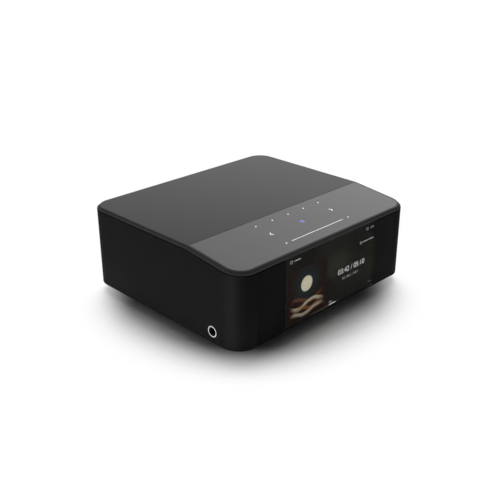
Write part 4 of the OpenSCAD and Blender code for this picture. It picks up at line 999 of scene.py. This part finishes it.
class STREAMER_OT_pane(bpy.types.Operator):
    """Models the front glass with its eased edges"""

    bl_idname = "streamer.pane"
    bl_label = "Front glass"

    EDGE = 0.25

    def execute(self, context):
        size, finish = settings(context)
        foot = size.case_foot + size.pane_lift
        bench = Bench.block("front_pane", (PANE_LOW.x, PANE_LOW.y, foot), PANE_HIGH)
        bench.pick("EDGE", lambda place: place.y < PANE_LOW.y + NEAR).round_edges(self.EDGE)
        paint = window_glass("front black painted light", finish, size, foot)
        bench.rest().done(paint, "front_glass", "front_glass")
        return {"FINISHED"}


class STREAMER_OT_screen(bpy.types.Operator):
    """Models the display behind the front glass and what it shows"""

    bl_idname = "streamer.screen"
    bl_label = "Display"

    GAP, LAYER, FRONT_THICK, UNLIT_EDGE = 0.12, 0.04, 1, 0.3
    BAR_ROUND, BAR_STEPS, SIGN_SIDES = 0.35, 4, 28
    # Each sign's left edge or middle, its height above the case's foot, its kind and its shape.
    BRIGHT = ((12.2, 27.0, "figures", "03:42 / 05:10", 4.8), (1.4, 2.0, "bar", 9.2, 0.65))
    DIM = ((18.4, 20.6, "figures", "16 / 44.1 / 1411", 2.4), (55.0, 58.6, "figures", "10:24", 1.6),
           (-44.8, 59.5, "bar", 7.2, 0.7), (1.4, 4.6, "bar", 3.6, 0.7),
           (56.6, 5.0, "bar", 4.4, 0.2), (46.0, 48.2, "bar", 6.6, 0.65),
           (53.4, 48.2, "bar", 7.4, 0.65), (-48.6, 59.8, "ring", 1.5, 0.32),
           (51.0, 59.4, "ring", 1.4, 0.3), (42.8, 48.4, "ring", 1.3, 0.45))

    def execute(self, context):
        size, finish = settings(context)
        front, step = PANEL_LOW.y + self.GAP, PANEL_LOW.y + self.FRONT_THICK
        panel = Bench.block("screen_panel", (PANEL_LOW.x, front, size.lit_low - self.UNLIT_EDGE),
                            (PANEL_HIGH.x, step, PANEL_HIGH.z))
        panel.facing("y").cut((0, 0, PANEL_LOW.z), (0, 0, 1))
        panel.pick("FACE", lambda place, way: way.y > FACING and place.z > PANEL_LOW.z + NEAR)
        panel.extrude(0, PANEL_HIGH.y - step, 0)
        paint = screen_ground("screen ground", finish, size)
        panel.rest().done(paint, "screen", "display_panel")
        left, low = size.picture_left, size.case_foot + size.picture_low
        picture = Bench.plate("screen_picture", (0, 0), (size.picture, size.picture))
        picture = self.stand(picture.extrude(0, 0, self.LAYER), left, low)
        picture.done(picture_print("picture print", finish, left, low, size.picture), "screen")
        self.readout("screen_title", size, self.BRIGHT, finish.read_white, 0.80)
        self.readout("screen_signs", size, self.DIM, finish.read_grey, 0.75)
        return {"FINISHED"}

    def stand(self, bench, left, low):
        """Stands a flat piece on the display's face."""
        bench.all().turn(90, "X").move(left, PANEL_LOW.y + self.GAP - self.LAYER / 2, low)
        return bench.rest()

    def bar(self, width, height):
        """A rounded bar that stands for a word."""
        bench = Bench.plate("bar", (0, 0), (width, height))
        bench.round_points(height * self.BAR_ROUND, self.BAR_STEPS)
        return bench.all().extrude(0, 0, self.LAYER)

    def ring(self, radius, width):
        """A small round sign."""
        bench = Bench.disc("ring", radius, self.SIGN_SIDES).inset(width).punch()
        return bench.all().extrude(0, 0, self.LAYER)

    def figures(self, words, height):
        """Plain figures."""
        return Bench.figures("figures", words, height, self.LAYER)

    def readout(self, name, size, rows, tint, strength):
        """Stands figures, bars and small signs on the display as one piece."""
        signs = [self.stand(getattr(self, kind)(*shape), x, z + size.case_foot)
                 for x, z, kind, *shape in rows]
        Bench.join(name, *signs).done(glow(name.replace("_", " "), tint, strength), "screen")


class STREAMER_OT_rings(bpy.types.Operator):
    """Models the bright rings of the headphone sockets"""

    bl_idname = "streamer.rings"
    bl_label = "Headphone rings"

    EDGE_NEAR, EASE_STEPS, FLANK_STEPS = 0.1, 3, 4

    def execute(self, context):
        size, finish = settings(context)
        outer, thick = (RING_HIGH.z - RING_LOW.z) / 2, size.ring_thick
        inner = outer - size.ring_width
        ring = Bench.disc("jack_rings", outer, RING_SIDES).inset(size.ring_width).punch()
        ring.all().extrude(0, 0, thick)
        for edge, ease, steps in ((inner, size.ring_ease, self.EASE_STEPS),
                                  (outer, size.ring_flank, self.FLANK_STEPS)):
            ring.pick("EDGE", lambda place: place.z > thick - NEAR
                      and abs(place.xy.length - edge) < self.EDGE_NEAR).round_edges(ease, steps)
        ring.all().turn(90, "Y").move(RING_HIGH.x - thick, size.jack_y, size.jack_z).rest()
        twin = ring.twin().turn(180, "Z", (0, size.jack_y, 0)).rest()
        paint = ringed_metal("ring chrome", finish.chrome, finish.plastic, size.jack_y, size.jack_z,
                             inner + size.ring_ease, outer - size.ring_flank)
        Bench.join("jack_rings", ring, twin).done(paint, "ring_chrome", "headphone_rings")
        return {"FINISHED"}


class STREAMER_OT_pads(bpy.types.Operator):
    """Models the rubber foot pads with their two grip rings"""

    bl_idname = "streamer.pads"
    bl_label = "Foot pads"

    LANDS = (1.6, 1.2, 1.6, 1.0)
    FLANK, GROOVE, EDGE, EDGE_NEAR, EDGE_STEPS = 0.25, 0.5, 0.7, 0.2, 4

    def execute(self, context):
        size, finish = settings(context)
        radius = size.pad_radius
        across, along = PAD_HIGH.x - radius, PAD_HIGH.y - radius
        pad = Bench.disc("foot_pads_soft", radius).extrude(0, 0, PAD_HIGH.z - PAD_LOW.z)
        pad.pick("FACE", lambda place, way: way.z < -FACING and place.z < NEAR)
        for land, depth in zip(self.LANDS, (-self.GROOVE, self.GROOVE) * 2):
            pad.inset(land).inset(self.FLANK, depth)
        rim = radius - self.EDGE_NEAR
        pad.pick("EDGE", lambda place: place.z < NEAR and place.xy.length > rim)
        pad.round_edges(self.EDGE, self.EDGE_STEPS).all()
        pad.move(-across, -along, PAD_LOW.z).rest()
        copies = [pad.twin().move(x, y, 0).rest()
                  for x, y in ((2 * across, 0), (0, 2 * along), (2 * across, 2 * along))]
        paint = soft_rubber("pad rubber", finish.rubber)
        Bench.join("foot_pads_soft", pad, *copies).done(paint, "rubber_black", "foot_pads")
        return {"FINISHED"}


class STREAMER_OT_screws(bpy.types.Operator):
    """Models the case's screws with their cross recesses"""

    bl_idname = "streamer.screws"
    bl_label = "Case screws"

    HEAD_RIM, HEAD_EDGE = 0.3, 0.2
    CROSS_ARM, CROSS_THIN, CROSS_DEEP = 0.62, 0.14, 1.1  # the first two in head radii

    def execute(self, context):
        size, finish = settings(context)
        paint = satin_metal("black screw", finish.screw_black, 0.36, 0.5)
        for node, down in (("rear_screws", False), ("case_screws", True), ("base_screws", True)):
            low, high = node_box(node)
            long = high.z - low.z if down else high.y - low.y
            first = self.screw(f"{node}_cross", size, long, sunk=not down)
            made = []
            for x, other in screw_places(node, size, "y" if down else "z"):
                copy = first.twin()
                if down:
                    copy.turn(180, "X").move(x, other, low.z)
                else:
                    copy.turn(-90, "X").move(x, high.y, other)
                made.append(copy.rest())
            bpy.data.meshes.remove(first.piece.data)
            Bench.join(f"{node}_cross", *made).done(paint, "screw_black", node)
        return {"FINISHED"}

    def screw(self, name, size, long, sunk):
        """One screw with its head's top at the origin, pointing down."""
        head, shank, sink = size.screw_head, size.screw_shank, size.screw_sink
        bench = Bench.disc(name, head, SCREW_SIDES)
        if sunk:
            bench.extrude(0, 0, -self.HEAD_RIM).extrude(0, 0, self.HEAD_RIM - sink)
            bench.scale(shank / head, shank / head, 1)
        else:
            bench.extrude(0, 0, -sink).inset(head - shank)
        bench.extrude(0, 0, sink - long)
        bench.level(0).round_edges(self.HEAD_EDGE, 2)
        bench.rest()
        arm, thin = head * self.CROSS_ARM, head * self.CROSS_THIN
        bars = [Bench.block("recess", (-x, -y, -self.CROSS_DEEP), (x, y, 1)).rest()
                for x, y in ((arm, thin), (thin, arm))]
        return bench.carve(*bars)


class STREAMER_OT_contacts(bpy.types.Operator):
    """Models the network socket's contact springs and its two lamps"""

    bl_idname = "streamer.contacts"
    bl_label = "Network contacts and lamps"

    COUNT, PITCH, HALF, SPRING_EDGE = 8, 1.02, 0.18, 0.06
    ROOF = 4.2  # of the opening, above the socket's middle
    REAR, FRONT, FOLD = (-11.9, -0.5), (-2.4, -0.2), (0, -3.4, -2.6)  # from the face and the roof
    LAMP_ASIDE, LAMP_UP, LAMP_WIDE, LAMP_TALL = 5.3, 1.35, 1.4, 0.75
    LAMP_DEEP, LAMP_PROUD, LAMP_INSET, LAMP_EDGE = 0.6, 0.12, 0.18, 0.08

    def execute(self, context):
        _, finish = settings(context)
        middle, face = (NETWORK_LOW + NETWORK_HIGH) / 2, NETWORK_HIGH.y
        self.springs(middle, face, finish)
        self.lamp("network_lamp_green", middle.x - self.LAMP_ASIDE, face, finish.lamp_green)
        self.lamp("network_lamp_amber", middle.x + self.LAMP_ASIDE, face, finish.lamp_amber)
        return {"FINISHED"}

    def springs(self, middle, face, finish):
        """A row of bent springs under the opening's roof."""
        roof, made = middle.z + self.ROOF, []
        for index in range(self.COUNT):
            x = middle.x + (index - (self.COUNT - 1) / 2) * self.PITCH
            ends = ((x + aside, face + y, roof + z)
                    for aside, (y, z) in ((-self.HALF, self.REAR), (self.HALF, self.FRONT)))
            spring = Bench.block("network_springs", *ends)
            made.append(spring.facing("y").extrude(*self.FOLD).rest())
        springs = Bench.join("network_springs", *made).soften(self.SPRING_EDGE)
        springs.done(bright_metal("spring gold", finish.gold, 0.18), "contact_gold")

    def lamp(self, name, x, face, tint):
        """One lamp beside the latch."""
        wide, tall, z = self.LAMP_WIDE, self.LAMP_TALL, NETWORK_LOW.z + self.LAMP_UP
        lamp = Bench.block(name, (x - wide, face - self.LAMP_DEEP, z - tall),
                           (x + wide, face + self.LAMP_PROUD, z + tall))
        lamp.facing("y").inset(self.LAMP_INSET, self.LAMP_PROUD).rest().soften(self.LAMP_EDGE)
        lamp.done(lamp_plastic(name.replace("_", " "), tint), "lamp_clear")


class STREAMER_OT_finishes(bpy.types.Operator):
    """Paints the CAD nodes that keep their own shape"""

    bl_idname = "streamer.finishes"
    bl_label = "Finishes of the other pieces"

    def execute(self, context):
        size, finish = settings(context)
        paints = {
            soft_rubber("seal rubber", finish.rubber): ["rim_gasket"],
            moulded_plastic("black plastic", finish.plastic, 0.55): [
                "base_plinth", "rear_panel", "remote_eye", "setup_button", "insulation_sheet",
                "mute_relays"],
            moulded_plastic("socket plastic", finish.plastic, 0.42, 0.9): [
                "xlr_sockets", "optical_ports", "optical_shutter_in", "optical_shutter_out",
                "mini_jacks", "mains_inlet", "headphone_jack_left", "headphone_jack_right",
                "setup_switch", "main_chips", "dac_chips"],
            moulded_plastic("pale plastic", finish.pale_plastic, 0.45): [
                "light_mask", "dac_spacers"],
            moulded_plastic("capacitor sleeve", finish.sleeve, 0.34, 2.0): [
                "dac_capacitors", "bulk_capacitors"],
            channel_plastic("channel plastic", finish.pale_plastic, finish.red_plastic,
                            size.bay_middle): ["rca_insulators"],
            bright_metal("sheet steel", finish.steel, 0.30, 0.4, (1, 6, 1)): [
                "display_bracket", "shield_can"],
            bright_metal("screw steel", finish.steel, 0.22): [
                "display_screws", "board_screws", "board_standoffs"],
            bright_metal("gold contact", finish.gold, 0.16): ["rca_sleeves", "xlr_pins"],
            bright_metal("blade nickel", finish.nickel, 0.20): ["inlet_pins"],
            satin_metal("tray black", finish.tray_black, 0.50, 0.3): ["chassis_tray"],
            satin_metal("heat sink", finish.sink_black, 0.42, 0.5): ["power_heatsink"],
            circuit_board("board green", finish.board, finish.gold): [
                "touch_board", "display_board", "socket_board", "main_board", "dac_board",
                "power_board", "headphone_boards", "wifi_antennas"],
            amber_film("film amber", finish.amber_film, finish.gold): [
                "touch_film", "display_ribbon", "board_links"],
            wound_core("core ferrite", finish.ferrite): ["power_transformer"],
            lamp_plastic("lamp clear", finish.lamp_clear): ["touch_lamps"],
        }
        sockets = ("video_socket", "network_socket", "usb_a_socket", "usb_c_socket")
        faces = {node: round(node_box(node)[1].y, 2) for node in sockets}
        for number, face in enumerate(sorted(set(faces.values())), 1):
            shell = plated_shell(f"socket plating {number}", finish.nickel, finish.plastic, face)
            paints[shell] = [node for node in sockets if faces[node] == face]
        for paint, nodes in paints.items():
            for node in nodes:
                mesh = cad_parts[node].data
                mesh.materials.clear()
                mesh.materials.append(paint)
        return {"FINISHED"}


class STREAMER_OT_stage(bpy.types.Operator):
    """Sets the floor, the studio light and the camera"""

    bl_idname = "streamer.stage"
    bl_label = "Stage"

    FLOOR_SIDE, SENSOR, CLIP_NEAR, CLIP_FAR = 40, 36, 0.01, 100

    def execute(self, context):
        scene = context.scene
        finish, stage = scene.streamer_finish, scene.streamer_stage
        scene.view_settings.view_transform = "Standard"
        bpy.ops.object.select_all(action="DESELECT")
        bpy.ops.mesh.primitive_plane_add(size=self.FLOOR_SIDE)
        floor = bpy.context.object
        floor.name = floor.data.name = "studio_floor"
        floor.data.materials.append(studio_floor("floor white", finish.floor, stage))
        self.lamp(stage)
        self.sky(scene, stage)
        bpy.ops.object.camera_add(location=stage.camera_place, rotation=stage.camera_turn)
        camera = bpy.context.object
        camera.name = camera.data.name = "photo_camera"
        camera.data.sensor_width, camera.data.lens = self.SENSOR, stage.lens
        camera.data.clip_start, camera.data.clip_end = self.CLIP_NEAR, self.CLIP_FAR
        scene.camera = camera
        return {"FINISHED"}

    def lamp(self, stage):
        """A wide soft lamp above and behind the object; reflections show the white sky instead."""
        out = math.sin(stage.lamp_tilt)
        place = Vector((math.sin(stage.lamp_way) * out, math.cos(stage.lamp_way) * out,
                        math.cos(stage.lamp_tilt)))
        bpy.ops.object.light_add(type="SUN", location=place * 2)
        lamp = bpy.context.object
        lamp.name = lamp.data.name = "overhead_lamp"
        lamp.data.energy = math.pi * stage.lamp_level / math.cos(stage.lamp_tilt)
        lamp.data.angle = stage.lamp_width
        lamp.rotation_euler = place.to_track_quat("Z", "Y").to_euler()
        lamp.visible_glossy = False

    def sky(self, scene, stage):
        """White for the eye and for reflections; as fill light weaker, and more from the left."""
        scene.world = bpy.data.worlds.new("studio_sky")
        paint = Paint(scene.world)
        left, right, white = (
            paint.node("Background", inputs={"Color": (1, 1, 1), "Strength": strength})
            for strength in (stage.fill_left, stage.fill_right, 1.0))
        way = paint.node("TexCoord", out="Generated")
        x, y = (paint.node("SeparateXYZ", inputs={0: way}, out=axis) for axis in "XY")
        fill = paint.node("MixShader", inputs={0: (x - y).ease(-1, 1), 1: left, 2: right})
        both = paint.node("MixShader", inputs={0: paint.seen(), 1: fill, 2: white})
        paint.node("OutputWorld", inputs={"Surface": both})


class STREAMER_PT_panel(bpy.types.Panel):
    """Lists the streamer's operators and settings"""

    bl_idname = "STREAMER_PT_panel"
    bl_label = "Network music streamer"
    bl_space_type = "VIEW_3D"
    bl_region_type = "UI"
    bl_category = "Streamer"

    def draw(self, context):
        for operator in OPERATORS:
            self.layout.operator(operator.bl_idname)
        for group in GROUPS:
            values = getattr(context.scene, group)
            for key in values.__annotations__:
                self.layout.prop(values, key)


OPERATORS = (STREAMER_OT_cover, STREAMER_OT_walls, STREAMER_OT_touch, STREAMER_OT_pane,
             STREAMER_OT_screen, STREAMER_OT_rings, STREAMER_OT_pads, STREAMER_OT_screws,
             STREAMER_OT_contacts, STREAMER_OT_finishes, STREAMER_OT_stage)
GROUPS = {"streamer_sizes": StreamerSizes, "streamer_finish": StreamerFinish,
          "streamer_stage": StreamerStage}


def register():
    for cls in (*GROUPS.values(), *OPERATORS, STREAMER_PT_panel):
        bpy.utils.register_class(cls)
    for key, group in GROUPS.items():
        setattr(bpy.types.Scene, key, PointerProperty(type=group))


def unregister():
    for key in GROUPS:
        delattr(bpy.types.Scene, key)
    for cls in reversed((*GROUPS.values(), *OPERATORS, STREAMER_PT_panel)):
        bpy.utils.unregister_class(cls)


def main():
    """Builds everything in order."""
    register()
    for operator in OPERATORS:
        module, call = operator.bl_idname.split(".")
        getattr(getattr(bpy.ops, module), call)()


if __name__ == "__main__":
    main()
